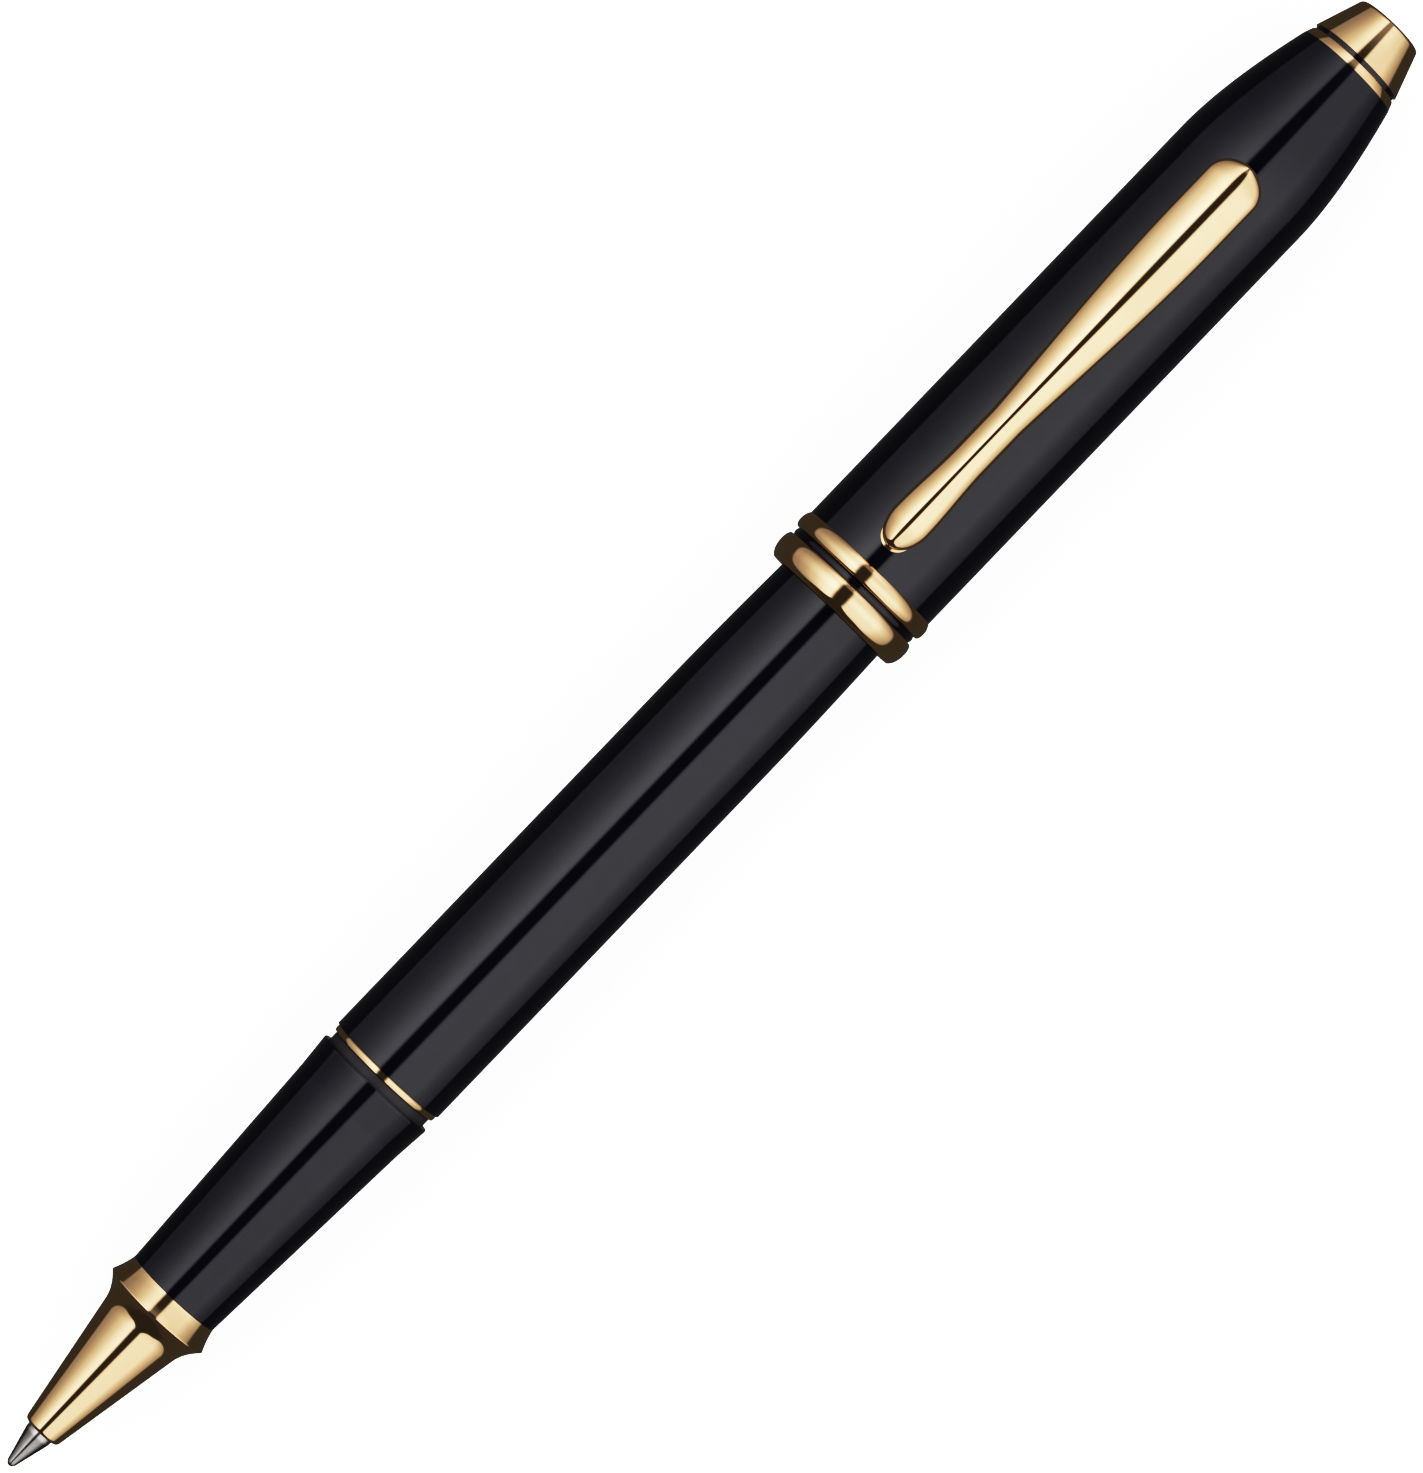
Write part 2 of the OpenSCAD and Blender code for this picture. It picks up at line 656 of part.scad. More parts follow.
module clip_spring() {
    bow_r = (pow(LEAF_L / 2, 2) + pow(LEAF_BOW, 2)) / (2 * LEAF_BOW);
    base_h = liner_tip_r + face_gap;
    color(STEEL) pen() intersection() {
        translate([base_h + LEAF_BOW - bow_r, 0, pin_s]) rotate([90, 0, 0]) difference() {
            cylinder(r = bow_r, h = LEAF_W, center = true);
            cylinder(r = bow_r - leaf_t, h = LEAF_W + OVERRUN, center = true);
        }
        translate([base_h, -LEAF_W, pin_s - LEAF_L]) cube([LEAF_L, 2 * LEAF_W, 2 * LEAF_L]);
    }
}

// Plug that closes the cap's narrow end and takes the finial's stud
STUD_IN_L = 7;
STUD_OUT_L = 2;

// The share t at which the cap's taper passes the insert's front face
function insert_t() = let (bend = cap_taper_l - 2 * TAPER_KNEE)
    (sqrt(pow(TAPER_KNEE, 2) + bend * (cap_taper_l - insert_l)) - TAPER_KNEE) / bend;

module cap_insert() {
    color(BRASS) turned(concat(
        [[0, cap_end_s - insert_l]],
        cap_taper(cap_wall + glue_gap, insert_t()),
        [[stud_d / 2, cap_end_s], [stud_d / 2, cap_end_s - STUD_IN_L], [0, cap_end_s - STUD_IN_L]]
    ));
}

// ---- Finial ----

module finial_ring() {
    color(GOLD) turned([
        [stud_d / 2 + glue_gap, cap_end_s], [cap_top_r, cap_end_s],
        [finial_d / 2 + glue_gap, groove_s - EDGE], [finial_d / 2 - EDGE, groove_s],
        [stud_d / 2 + glue_gap, groove_s]
    ]);
}

GROOVE_DROP = 0.16;

module finial_spacer() {
    color(LACQUER) ring(stud_d / 2 + glue_gap, finial_d / 2 - GROOVE_DROP, groove_s, finial_s);
}

module finial_stud() {
    color(BRASS) ring(0, stud_d / 2, cap_end_s - STUD_IN_L, finial_s + STUD_OUT_L);
}

// Gold cone with a softly rounded, flat top: its shoulder lies this far before the top and outside its flat
SHOULDER_L = 0.6;
SHOULDER_OUT = 0.48;
SHOULDER_TURN = [-0.16, 0.55];

module finial() {
    top_r = finial_top_d / 2;
    shoulder = [top_r + SHOULDER_OUT, pen_l - SHOULDER_L];
    color(GOLD) turned(concat(
        [[stud_d / 2, finial_s], [finial_d / 2 - EDGE / 2, finial_s], [finial_d / 2, finial_s + EDGE]],
        curve(shoulder, shoulder + SHOULDER_TURN, [top_r, pen_l]),
        [[0, pen_l], [0, finial_s + STUD_OUT_L], [stud_d / 2, finial_s + STUD_OUT_L]]
    ));
}

// ---- Clip ----

// Where the clip's lower end stops behind the cap tube's front edge, and the lengths of its round ends
CLIP_END_GAP = 1.9;
END_ROUND_L = 2.65;
HEAD_ROUND_L = 2.15;
BULB_FADE_L = 9;
WIDEN_FROM = 12.8;
WIDEN_TO = 34;
END_STANDOFF = 0.45;
HEAD_STANDOFF = 0.6;
LIFT_L = 8;
clip_s = cap_s + CLIP_END_GAP;
clip_l = pin_s + clip_head_l - clip_s;

// The clip opens from its waist to its head, fast at first and then gently
WIDEN_FAST = 0.7;
function widening(u) =
    let (t = min(max((u - WIDEN_FROM) / (WIDEN_TO - WIDEN_FROM), 0), 1))
    (1 - WIDEN_FAST) * smooth(t) + WIDEN_FAST * sin(90 * t);

// Roundness of both ends: 0 at the end and 1 along the arm
function end_round(u) =
    u < END_ROUND_L ? sqrt(1 - pow((END_ROUND_L - u) / END_ROUND_L, 2))
    : u > clip_l - HEAD_ROUND_L ? sqrt(max(0, 1 - pow((u - clip_l + HEAD_ROUND_L) / HEAD_ROUND_L, 2)))
    : 1;

function clip_half_w(u) = end_round(u) * (
    clip_waist_w + (clip_end_w - clip_waist_w) * (1 - smooth((u - END_ROUND_L) / BULB_FADE_L))
    + (clip_head_w - clip_waist_w) * widening(u)) / 2;

// Height of the clip's underside above the pen's axis
function clip_under(u) = cap_r + END_STANDOFF
    + (clip_lift - END_STANDOFF) * smooth((u - END_ROUND_L) / LIFT_L)
    - (clip_lift - HEAD_STANDOFF) * smooth((u - clip_l + 2 * LIFT_L) / LIFT_L);

CLIP_STATIONS = 44;
CROWN_STEPS = 12;
// Stations crowd towards both ends, where the outline turns fastest
CROWDING = 0.75;
function station(i) = let (t = i / CLIP_STATIONS, ends = (1 - cos(180 * t)) / 2)
    clip_l * ((1 - CROWDING) * t + CROWDING * ends);
SLIVER = 0.12;

// One cross-section of the clip: a flat underside, thin edges and a crowned top
function clip_section(u) =
    let (w = max(clip_half_w(u), SLIVER), low = clip_under(u),
         crown = clip_crown * max(end_round(u), SLIVER))
    concat(
        [[low, -w, clip_s + u], [low, w, clip_s + u]],
        [for (j = [0 : CROWN_STEPS]) let (y = 1 - 2 * j / CROWN_STEPS)
            [low + clip_edge + crown * (1 - y * y), w * y, clip_s + u]]
    );

module clip_arm() {
    n = CROWN_STEPS + 3;
    points = [for (i = [0 : CLIP_STATIONS]) each clip_section(station(i))];
    sides = [
        for (i = [0 : CLIP_STATIONS - 1], j = [0 : n - 1])
        let (a = i * n + j, b = i * n + (j + 1) % n)
        [a, b, b + n, a + n]
    ];
    lower = [for (j = [n - 1 : -1 : 0]) j];
    upper = [for (j = [0 : n - 1]) CLIP_STATIONS * n + j];
    pen() polyhedron(points, concat(sides, [lower, upper]));
}

// Gold clip: a crowned arm, a round pad that rests on the cap, and a foot on the hinge pin
PAD_R = 1.3;
FOOT_DROP = 0.7;

module clip() {
    foot_low = pin_h - FOOT_DROP;
    foot_top = clip_under(pin_s - clip_s) + clip_edge / 2;
    color(GOLD) difference() {
        union() {
            clip_arm();
            pen() translate([cap_r + touch_gap, 0, clip_s + PAD_R - face_gap])
                rotate([0, 90, 0]) cylinder(r = PAD_R, h = END_STANDOFF);
            pen() translate([foot_low, -foot_w / 2, pin_s - foot_l / 2])
                cube([foot_top - foot_low, foot_w, foot_l]);
        }
        pin_at(pin_d / 2 + run_clear, foot_w + OVERRUN);
    }
}

barrel_tube();
barrel_ring();
barrel_bushing();
tail_plug();
refill_spring();
refill_tip();
refill_feed();
refill_tube();
ink_column();
ink_follower();
refill_end_plug();
refill_ball();
grip_section();
nose_cone();
section_coupler();
cap_tube();
mouth_band();
band_spacer();
upper_band();
snap_ring();
cap_liner();
clip_carrier();
clip_pin();
clip_spring();
cap_insert();
finial_ring();
finial_spacer();
finial_stud();
finial();
clip();
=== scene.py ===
"""Looks of a posted rollerball pen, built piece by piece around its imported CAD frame.

Every turned piece is an outline spun about the pen's axis. Lengths in the classes are in
millimetres unless they say otherwise, and places come from the frame's own boxes.
"""

import logging
import math
from dataclasses import dataclass, field
from enum import Enum
from typing import Callable, ClassVar, Iterable, Sequence, Union

import bmesh
import bpy
from mathutils import Matrix, Vector
from mathutils.geometry import interpolate_bezier


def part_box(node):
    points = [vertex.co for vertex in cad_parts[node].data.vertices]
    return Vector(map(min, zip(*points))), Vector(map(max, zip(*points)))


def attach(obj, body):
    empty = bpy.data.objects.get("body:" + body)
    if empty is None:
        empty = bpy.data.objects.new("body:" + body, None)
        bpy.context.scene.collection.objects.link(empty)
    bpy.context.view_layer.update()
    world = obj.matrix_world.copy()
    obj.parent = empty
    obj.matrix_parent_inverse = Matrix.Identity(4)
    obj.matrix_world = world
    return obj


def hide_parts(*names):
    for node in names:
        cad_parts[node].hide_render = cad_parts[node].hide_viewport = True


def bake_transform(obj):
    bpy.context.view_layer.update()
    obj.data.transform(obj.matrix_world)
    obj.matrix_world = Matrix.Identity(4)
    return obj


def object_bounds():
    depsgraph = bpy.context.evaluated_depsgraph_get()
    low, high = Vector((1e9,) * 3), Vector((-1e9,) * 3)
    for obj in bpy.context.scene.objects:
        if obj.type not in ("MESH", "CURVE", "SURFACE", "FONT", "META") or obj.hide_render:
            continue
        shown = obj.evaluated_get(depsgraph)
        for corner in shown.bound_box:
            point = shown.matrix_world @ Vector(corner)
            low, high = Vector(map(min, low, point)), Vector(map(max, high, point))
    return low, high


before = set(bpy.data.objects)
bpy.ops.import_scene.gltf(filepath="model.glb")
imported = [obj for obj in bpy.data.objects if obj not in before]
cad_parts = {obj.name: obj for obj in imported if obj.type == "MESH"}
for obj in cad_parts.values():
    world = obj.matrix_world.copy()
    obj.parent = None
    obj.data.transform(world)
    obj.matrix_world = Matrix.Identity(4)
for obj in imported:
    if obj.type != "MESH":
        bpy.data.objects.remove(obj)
CAD_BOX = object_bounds()

LOG = logging.getLogger("pen")
MM = 0.001
SHOWN_STEPS = 192
HIDDEN_STEPS = 96
PIN_STEPS = 48
SMALL_CURVE = 8
CURVE_STEPS = 16
BAND_CURVE = 20
ROUND_SEGMENTS = 3
# How far the rounding of a turned corner reaches, in millimetres.
CRISP, FINE, EASED, SOFT, BLUNT, ROUND = 0.03, 0.05, 0.08, 0.1, 0.15, 0.2
# Numbers of the colour sockets of a Mix node.
MIX_SHARE, MIX_FIRST, MIX_SECOND, MIX_RESULT = 0, 6, 7, 2
GRAINS_TO_CLOUD = 12.0
PEN_DIRECTION = (1, 0, 0)
NO_SHIFT = (0, 0, 0)
WELD = 2e-7
SHARP_ANGLE = math.radians(32)

Socket = bpy.types.NodeSocket
Sockets = dict[str, Socket]
Value = Union[float, tuple, Socket]
Levels = tuple[tuple[float, float], ...]


# ---------------------------------------------------------------- places in the frame


@dataclass(frozen=True)
class Span:
    """Where a turned CAD node lies along the pen, in metres."""

    front: float
    rear: float
    radius: float

    def after(self, distance: float) -> float:
        """Place this many millimetres behind the node's front."""
        return self.front + distance * MM

    def before(self, distance: float) -> float:
        """Place this many millimetres before the node's rear."""
        return self.rear - distance * MM


def span(node: str) -> Span:
    """A turned CAD node's front, rear and largest radius."""
    low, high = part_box(node)
    return Span(low.x, high.x, (high.y - low.y) / 2)


def pen_axis_height() -> float:
    """Height of the pen's axis above the surface it rests on, in metres."""
    low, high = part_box("barrel_tube")
    return (low.z + high.z) / 2


AXIS_Z = pen_axis_height()


class Body(Enum):
    """The moving bodies of the pen."""

    BARREL = "barrel"
    REFILL = "refill"
    BALL = "ball"
    SECTION = "section"
    CAP = "cap"
    CLIP = "clip"


# ---------------------------------------------------------------- meshes


def finish_mesh(mesh: bmesh.types.BMesh, name: str) -> bpy.types.Object:
    """Weld, orient and shade a mesh, and put it in the scene.

    Args:
        mesh: The mesh, which is freed.
        name: Name of the piece.

    Returns:
        The new object, at the origin.
    """
    bmesh.ops.remove_doubles(mesh, verts=mesh.verts, dist=WELD)
    bmesh.ops.recalc_face_normals(mesh, faces=mesh.faces)
    data = bpy.data.meshes.new(name)
    mark_edges(mesh)
    mesh.to_mesh(data)
    mesh.free()
    piece = bpy.data.objects.new(name, data)
    bpy.context.scene.collection.objects.link(piece)
    return piece


def mark_edges(mesh: bmesh.types.BMesh) -> None:
    """Shade a mesh smooth, and mark its sharp edges.

    Args:
        mesh: The mesh to mark.
    """
    for face in mesh.faces:
        face.smooth = True
    for edge in mesh.edges:
        edge.smooth = len(edge.link_faces) != 2 or edge.calc_face_angle() < SHARP_ANGLE


def draw_line(mesh: bmesh.types.BMesh, points: Iterable[Sequence[float]], closed: bool = True
              ) -> tuple[list[bmesh.types.BMVert], list[bmesh.types.BMEdge]]:
    """Draw edges through some points.

    Args:
        mesh: The mesh that gets them.
        points: The points, in metres.
        closed: Whether the last point joins the first.

    Returns:
        The new vertices and edges.
    """
    verts = [mesh.verts.new(point) for point in points]
    following = verts[1:] + verts[:1] if closed else verts[1:]
    return verts, [mesh.edges.new(pair) for pair in zip(verts, following)]


def close_ends(mesh: bmesh.types.BMesh) -> None:
    """Fill every open end of a mesh."""
    bmesh.ops.holes_fill(mesh, edges=[e for e in mesh.edges if e.is_boundary], sides=0)


def soften(mesh: bmesh.types.BMesh, geometry: list, width: float, affect: str = "EDGES") -> None:
    """Round a mesh's edges, or its vertices, over a width in metres."""
    bmesh.ops.bevel(mesh, geom=geometry, offset=width, offset_type="OFFSET", segments=ROUND_SEGMENTS,
                    profile=0.5, affect=affect, material=-1)


def combine(piece: bpy.types.Object, tool: bpy.types.Object, operation: str) -> None:
    """Cut a piece with a tool, or unite the two, and remove the tool.

    Args:
        piece: The piece that keeps the result.
        tool: The closed shape to combine it with.
        operation: "DIFFERENCE" or "UNION".
    """
    modifier = piece.modifiers.new(operation.lower(), "BOOLEAN")
    modifier.operation, modifier.object, modifier.solver = operation, tool, "EXACT"
    bpy.context.view_layer.update()
    depsgraph = bpy.context.evaluated_depsgraph_get()
    result = bmesh.new()
    result.from_object(piece, depsgraph)
    piece.modifiers.clear()
    bmesh.ops.remove_doubles(result, verts=result.verts, dist=WELD)
    bmesh.ops.triangulate(result, faces=[f for f in result.faces if len(f.verts) > 4])
    mark_edges(result)
    result.to_mesh(piece.data)
    result.free()
    bpy.data.objects.remove(tool)


@dataclass
class Corner:
    """One corner of an outline: a place along the pen, a radius and a rounding, in metres."""

    along: float
    radius: float
    rounding: float = 0.0


@dataclass
class Outline:
    """Half of a turned piece's section, drawn round its material and spun about the pen's axis."""

    corners: list[Corner] = field(default_factory=list)

    def to(self, along: float, radius: float, rounding: float = 0.0) -> "Outline":
        """Add a corner: a place in metres, a radius in millimetres and how far its rounding reaches."""
        self.corners.append(Corner(along, radius * MM, rounding * MM))
        return self

    def bend(self, turn: tuple[float, float], end: tuple[float, float],
             steps: int = CURVE_STEPS) -> "Outline":
        """Add a smooth curve from the last corner.

        Args:
            turn: Place (m) and radius (mm) at which the curve's end tangents meet.
            end: Place (m) and radius (mm) at which it ends.
            steps: Number of points.

        Returns:
            This outline.
        """
        start = Vector((self.corners[-1].along, self.corners[-1].radius, 0.0))
        via = Vector((turn[0], turn[1] * MM, 0.0))
        last = Vector((end[0], end[1] * MM, 0.0))
        share = 2 / 3
        curve = interpolate_bezier(start, start.lerp(via, share), last.lerp(via, share), last, steps + 1)
        self.corners += [Corner(p.x, p.y) for p in curve[1:]]
        return self

    def follow(self, law: Callable[[float], float], start: float, end: float,
               steps: int = CURVE_STEPS) -> "Outline":
        """Add points along a given law of radius.

        Args:
            law: Radius in millimetres at a place in metres.
            start: First place.
            end: Last place.
            steps: Number of steps between them.

        Returns:
            This outline.
        """
        for i in range(steps + 1):
            place = start + (end - start) * i / steps
            self.to(place, law(place))
        return self

    def groove(self, start: float, radius: float, size: tuple[float, float, float],
               rounding: float) -> "Outline":
        """Add a groove with sloping flanks.

        Args:
            start: Where it starts, in metres.
            radius: Radius of the surface it is cut in, in millimetres.
            size: Its width, its depth and the length of a flank, in millimetres.
            rounding: How far the rounding of its corners reaches, in millimetres.

        Returns:
            This outline.
        """
        width, depth, flank = size
        for along, drop in ((0.0, 0.0), (flank, depth), (width - flank, depth), (width, 0.0)):
            self.to(start + along * MM, radius - drop, rounding)
        return self

    def section(self) -> bmesh.types.BMesh:
        """A new mesh with the outline as edges in the plane of the clip, its corners rounded."""
        mesh = bmesh.new()
        on_axis = self.corners[0].radius == 0.0 and self.corners[-1].radius == 0.0
        points, _ = draw_line(mesh, ((c.along, 0.0, AXIS_Z + c.radius) for c in self.corners), not on_axis)
        for point, corner in zip(points, self.corners):
            if corner.rounding:
                soften(mesh, [point], corner.rounding, "VERTICES")
        return mesh

    def spin(self, name: str, steps: int = SHOWN_STEPS, opening: float = 0.0) -> bpy.types.Object:
        """Spin the outline about the pen's axis.

        Args:
            name: Name of the piece.
            steps: Number of facets round it.
            opening: Angle left open at its underside, in radians.

        Returns:
            The new piece.
        """
        mesh = self.section()
        centre = Vector((0.0, 0.0, AXIS_Z))
        if opening:
            turn = Matrix.Rotation(math.pi + opening / 2, 3, "X")
            bmesh.ops.rotate(mesh, verts=mesh.verts, cent=centre, matrix=turn)
        bmesh.ops.spin(mesh, geom=mesh.verts[:] + mesh.edges[:], cent=centre, axis=PEN_DIRECTION,
                       dvec=NO_SHIFT, angle=math.tau - opening, steps=steps, use_merge=not opening)
        if opening:
            close_ends(mesh)
        return finish_mesh(mesh, name)


def rod(name: str, start: Vector, end: Vector, radius: float, edge: float = 0.0,
        steps: int = HIDDEN_STEPS) -> bpy.types.Object:
    """A straight round rod with bevelled ends.

    Args:
        name: Name of the piece.
        start: Middle of one end, in metres.
        end: Middle of the other end.
        radius: Its radius in metres.
        edge: Width of the bevel in metres.
        steps: Number of facets round it.

    Returns:
        The new piece.
    """
    mesh = bmesh.new()
    line = end - start
    place = Matrix.Translation((start + end) / 2) @ line.to_track_quat("Z", "Y").to_matrix().to_4x4()
    bmesh.ops.create_cone(mesh, cap_ends=True, segments=steps, radius1=radius, radius2=radius,
                          depth=line.length, matrix=place)
    rims = [e for e in mesh.edges if any(len(f.verts) == steps for f in e.link_faces)]
    if edge:
        soften(mesh, rims, edge)
    return finish_mesh(mesh, name)


def block(name: str, low: Vector, high: Vector, edge: float = 0.0) -> bpy.types.Object:
    """A box with bevelled edges.

    Args:
        name: Name of the piece.
        low: Its lowest corner, in metres.
        high: Its highest corner.
        edge: Width of the bevel in metres.

    Returns:
        The new piece.
    """
    mesh = bmesh.new()
    size = high - low
    place = Matrix.Translation((low + high) / 2) @ Matrix.Diagonal((*size, 1.0))
    bmesh.ops.create_cube(mesh, size=1.0, matrix=place)
    if edge:
        soften(mesh, mesh.edges[:], edge)
    return finish_mesh(mesh, name)


# ---------------------------------------------------------------- finishes


class Graph:
    """A node tree that is written one node at a time."""

    def __init__(self, tree: bpy.types.NodeTree) -> None:
        """Start from an empty tree."""
        self.tree = tree
        tree.nodes.clear()

    def add(self, kind: str, inputs: dict[Union[str, int], Value] | None = None,
            **settings: object) -> bpy.types.Node:
        """Add a node, with values or links on its inputs.

        Args:
            kind: The node's type, without its prefix.
            inputs: Socket names or numbers, and what goes in them.
            **settings: Properties of the node.

        Returns:
            The node.
        """
        prefix = "" if kind.startswith("NodeGroup") else "ShaderNode"
        node = self.tree.nodes.new(prefix + kind)
        for name, value in settings.items():
            setattr(node, name, value)
        for key, value in (inputs or {}).items():
            if isinstance(value, bpy.types.NodeSocket):
                self.tree.links.new(value, node.inputs[key])
            else:
                node.inputs[key].default_value = value
        return node

    def effect(self, group: bpy.types.NodeTree, values: dict[str, float]) -> Sockets:
        """Outputs of a shared effect, placed with its own values."""
        return dict(self.add("Group", values, node_tree=group).outputs.items())

    def math(self, operation: str, *values: Value) -> Socket:
        """Output of a Math node on one to three values."""
        return self.add("Math", dict(enumerate(values)), operation=operation).outputs[0]

    def ramp(self, value: Value, low: float, high: float, to_low: float = 0.0,
             to_high: float = 1.0) -> Socket:
        """A value mapped smoothly from the range low to high onto to_low to to_high."""
        node = self.add("MapRange", {"Value": value, "From Min": low, "From Max": high,
                                     "To Min": to_low, "To Max": to_high},
                        interpolation_type="SMOOTHSTEP")
        return node.outputs["Result"]

    def blend(self, share: Value, first: Value, second: Value) -> Socket:
        """A colour between two others.

        Args:
            share: How much of the second one shows.
            first: First colour.
            second: Second colour.

        Returns:
            The mixed colour.
        """
        sockets = {MIX_SHARE: share, MIX_FIRST: first, MIX_SECOND: second}
        return self.add("Mix", sockets, data_type="RGBA").outputs[MIX_RESULT]

    def noise(self, place: Socket, scale: float, detail: float = 3.0,
              stretch: tuple[float, float, float] = (1.0, 1.0, 1.0)) -> Socket:
        """Noise from 0 to 1 over a place in metres, with this many features to the metre."""
        mapped = self.add("Mapping", {"Vector": place, "Scale": stretch}).outputs[0]
        return self.add("TexNoise", {"Vector": mapped, "Scale": scale, "Detail": detail,
                                     "Roughness": 0.55}).outputs["Fac"]


def new_group(name: str, inputs: dict[str, float], outputs: Iterable[str]) -> tuple[Graph, Sockets]:
    """Start a shader node group.

    Args:
        name: Name of the group.
        inputs: Names and defaults of its value inputs.
        outputs: Names of its value outputs.

    Returns:
        Its graph, and what it is given.
    """
    tree = bpy.data.node_groups.new(name, "ShaderNodeTree")
    graph = Graph(tree)
    for label, default in inputs.items():
        socket = tree.interface.new_socket(label, in_out="INPUT", socket_type="NodeSocketFloat")
        socket.default_value = default
    for label in outputs:
        tree.interface.new_socket(label, in_out="OUTPUT", socket_type="NodeSocketFloat")
    return graph, dict(graph.add("NodeGroupInput").outputs.items())


def patches(graph: Graph, scale: float, detail: float, low: float, high: float,
            stretch: tuple[float, float, float] = (1.0, 1.0, 1.0)) -> Socket:
    """Noise made into soft patches, which start at low and are full at high."""
    return graph.ramp(graph.noise(place_in(graph), scale, detail, stretch), low, high)


def place_in(graph: Graph) -> Socket:
    """Coordinates on the piece, in metres."""
    return graph.add("TexCoord").outputs["Object"]


def build_handling() -> bpy.types.NodeTree:
    """Group of the marks that hands leave: smudges, hairline scratches and specks of dust."""
    graph, given = new_group("handling_marks", {"Smudge": 1.0, "Scratch": 1.0},
                             ("Smudges", "Scratches", "Dust"))
    broad = patches(graph, 110, 2.0, 0.45, 0.75, (0.6, 1.0, 1.0))
    prints = patches(graph, 420, 4.0, 0.4, 0.7)
    smudge = graph.math("MULTIPLY", graph.math("MULTIPLY", broad, prints), given["Smudge"])
    long_lines = patches(graph, 2600, 2.0, 0.68, 0.76, (0.03, 1.0, 1.0))
    cross_lines = patches(graph, 1900, 2.0, 0.7, 0.78, (1.0, 0.05, 0.05))
    lines = graph.math("MULTIPLY", graph.math("MAXIMUM", long_lines, cross_lines),
                       patches(graph, 240, 2.0, 0.48, 0.66))
    scratch = graph.math("MULTIPLY", lines, given["Scratch"])
    dust = patches(graph, 5200, 1.0, 0.78, 0.82)
    graph.add("NodeGroupOutput", {"Smudges": smudge, "Scratches": scratch, "Dust": dust})
    return graph.tree


def build_turning() -> bpy.types.NodeTree:
    """Group of the fine rings that turning and polishing leave round a piece."""
    graph, given = new_group("turned_rings", {"Fineness": 6000.0}, ("Rings", "Broad rings"))
    along = graph.add("SeparateXYZ", {"Vector": place_in(graph)}).outputs["X"]
    fine = graph.add("CombineXYZ", {"X": graph.math("MULTIPLY", along, given["Fineness"])})
    wide = graph.add("CombineXYZ", {"X": along})
    rings = graph.add("TexNoise", {"Vector": fine.outputs[0], "Scale": 1.0, "Detail": 3.0})
    broad = graph.add("TexNoise", {"Vector": wide.outputs[0], "Scale": 900.0, "Detail": 2.0})
    graph.add("NodeGroupOutput", {"Rings": rings.outputs["Fac"], "Broad rings": broad.outputs["Fac"]})
    return graph.tree


def build_mottle() -> bpy.types.NodeTree:
    """Group of slow colour variation, as in plating, moulded plastic or ink."""
    graph, given = new_group("mottle", {"Scale": 300.0}, ("Cloud", "Grain"))
    place, grains = place_in(graph), graph.math("MULTIPLY", given["Scale"], GRAINS_TO_CLOUD)
    cloud = graph.add("TexNoise", {"Vector": place, "Scale": given["Scale"], "Detail": 2.0})
    grain = graph.add("TexNoise", {"Vector": place, "Scale": grains, "Detail": 4.0})
    graph.add("NodeGroupOutput", {"Cloud": cloud.outputs["Fac"], "Grain": grain.outputs["Fac"]})
    return graph.tree


@dataclass(frozen=True)
class Effects:
    """The shared node groups."""

    handling: bpy.types.NodeTree = field(default_factory=build_handling)
    turning: bpy.types.NodeTree = field(default_factory=build_turning)
    mottle: bpy.types.NodeTree = field(default_factory=build_mottle)


class Texture(Enum):
    """What a finish's surface shows up close."""

    POLISHED = "polished"
    TURNED = "turned"
    MOULDED = "moulded"
    WET = "wet"


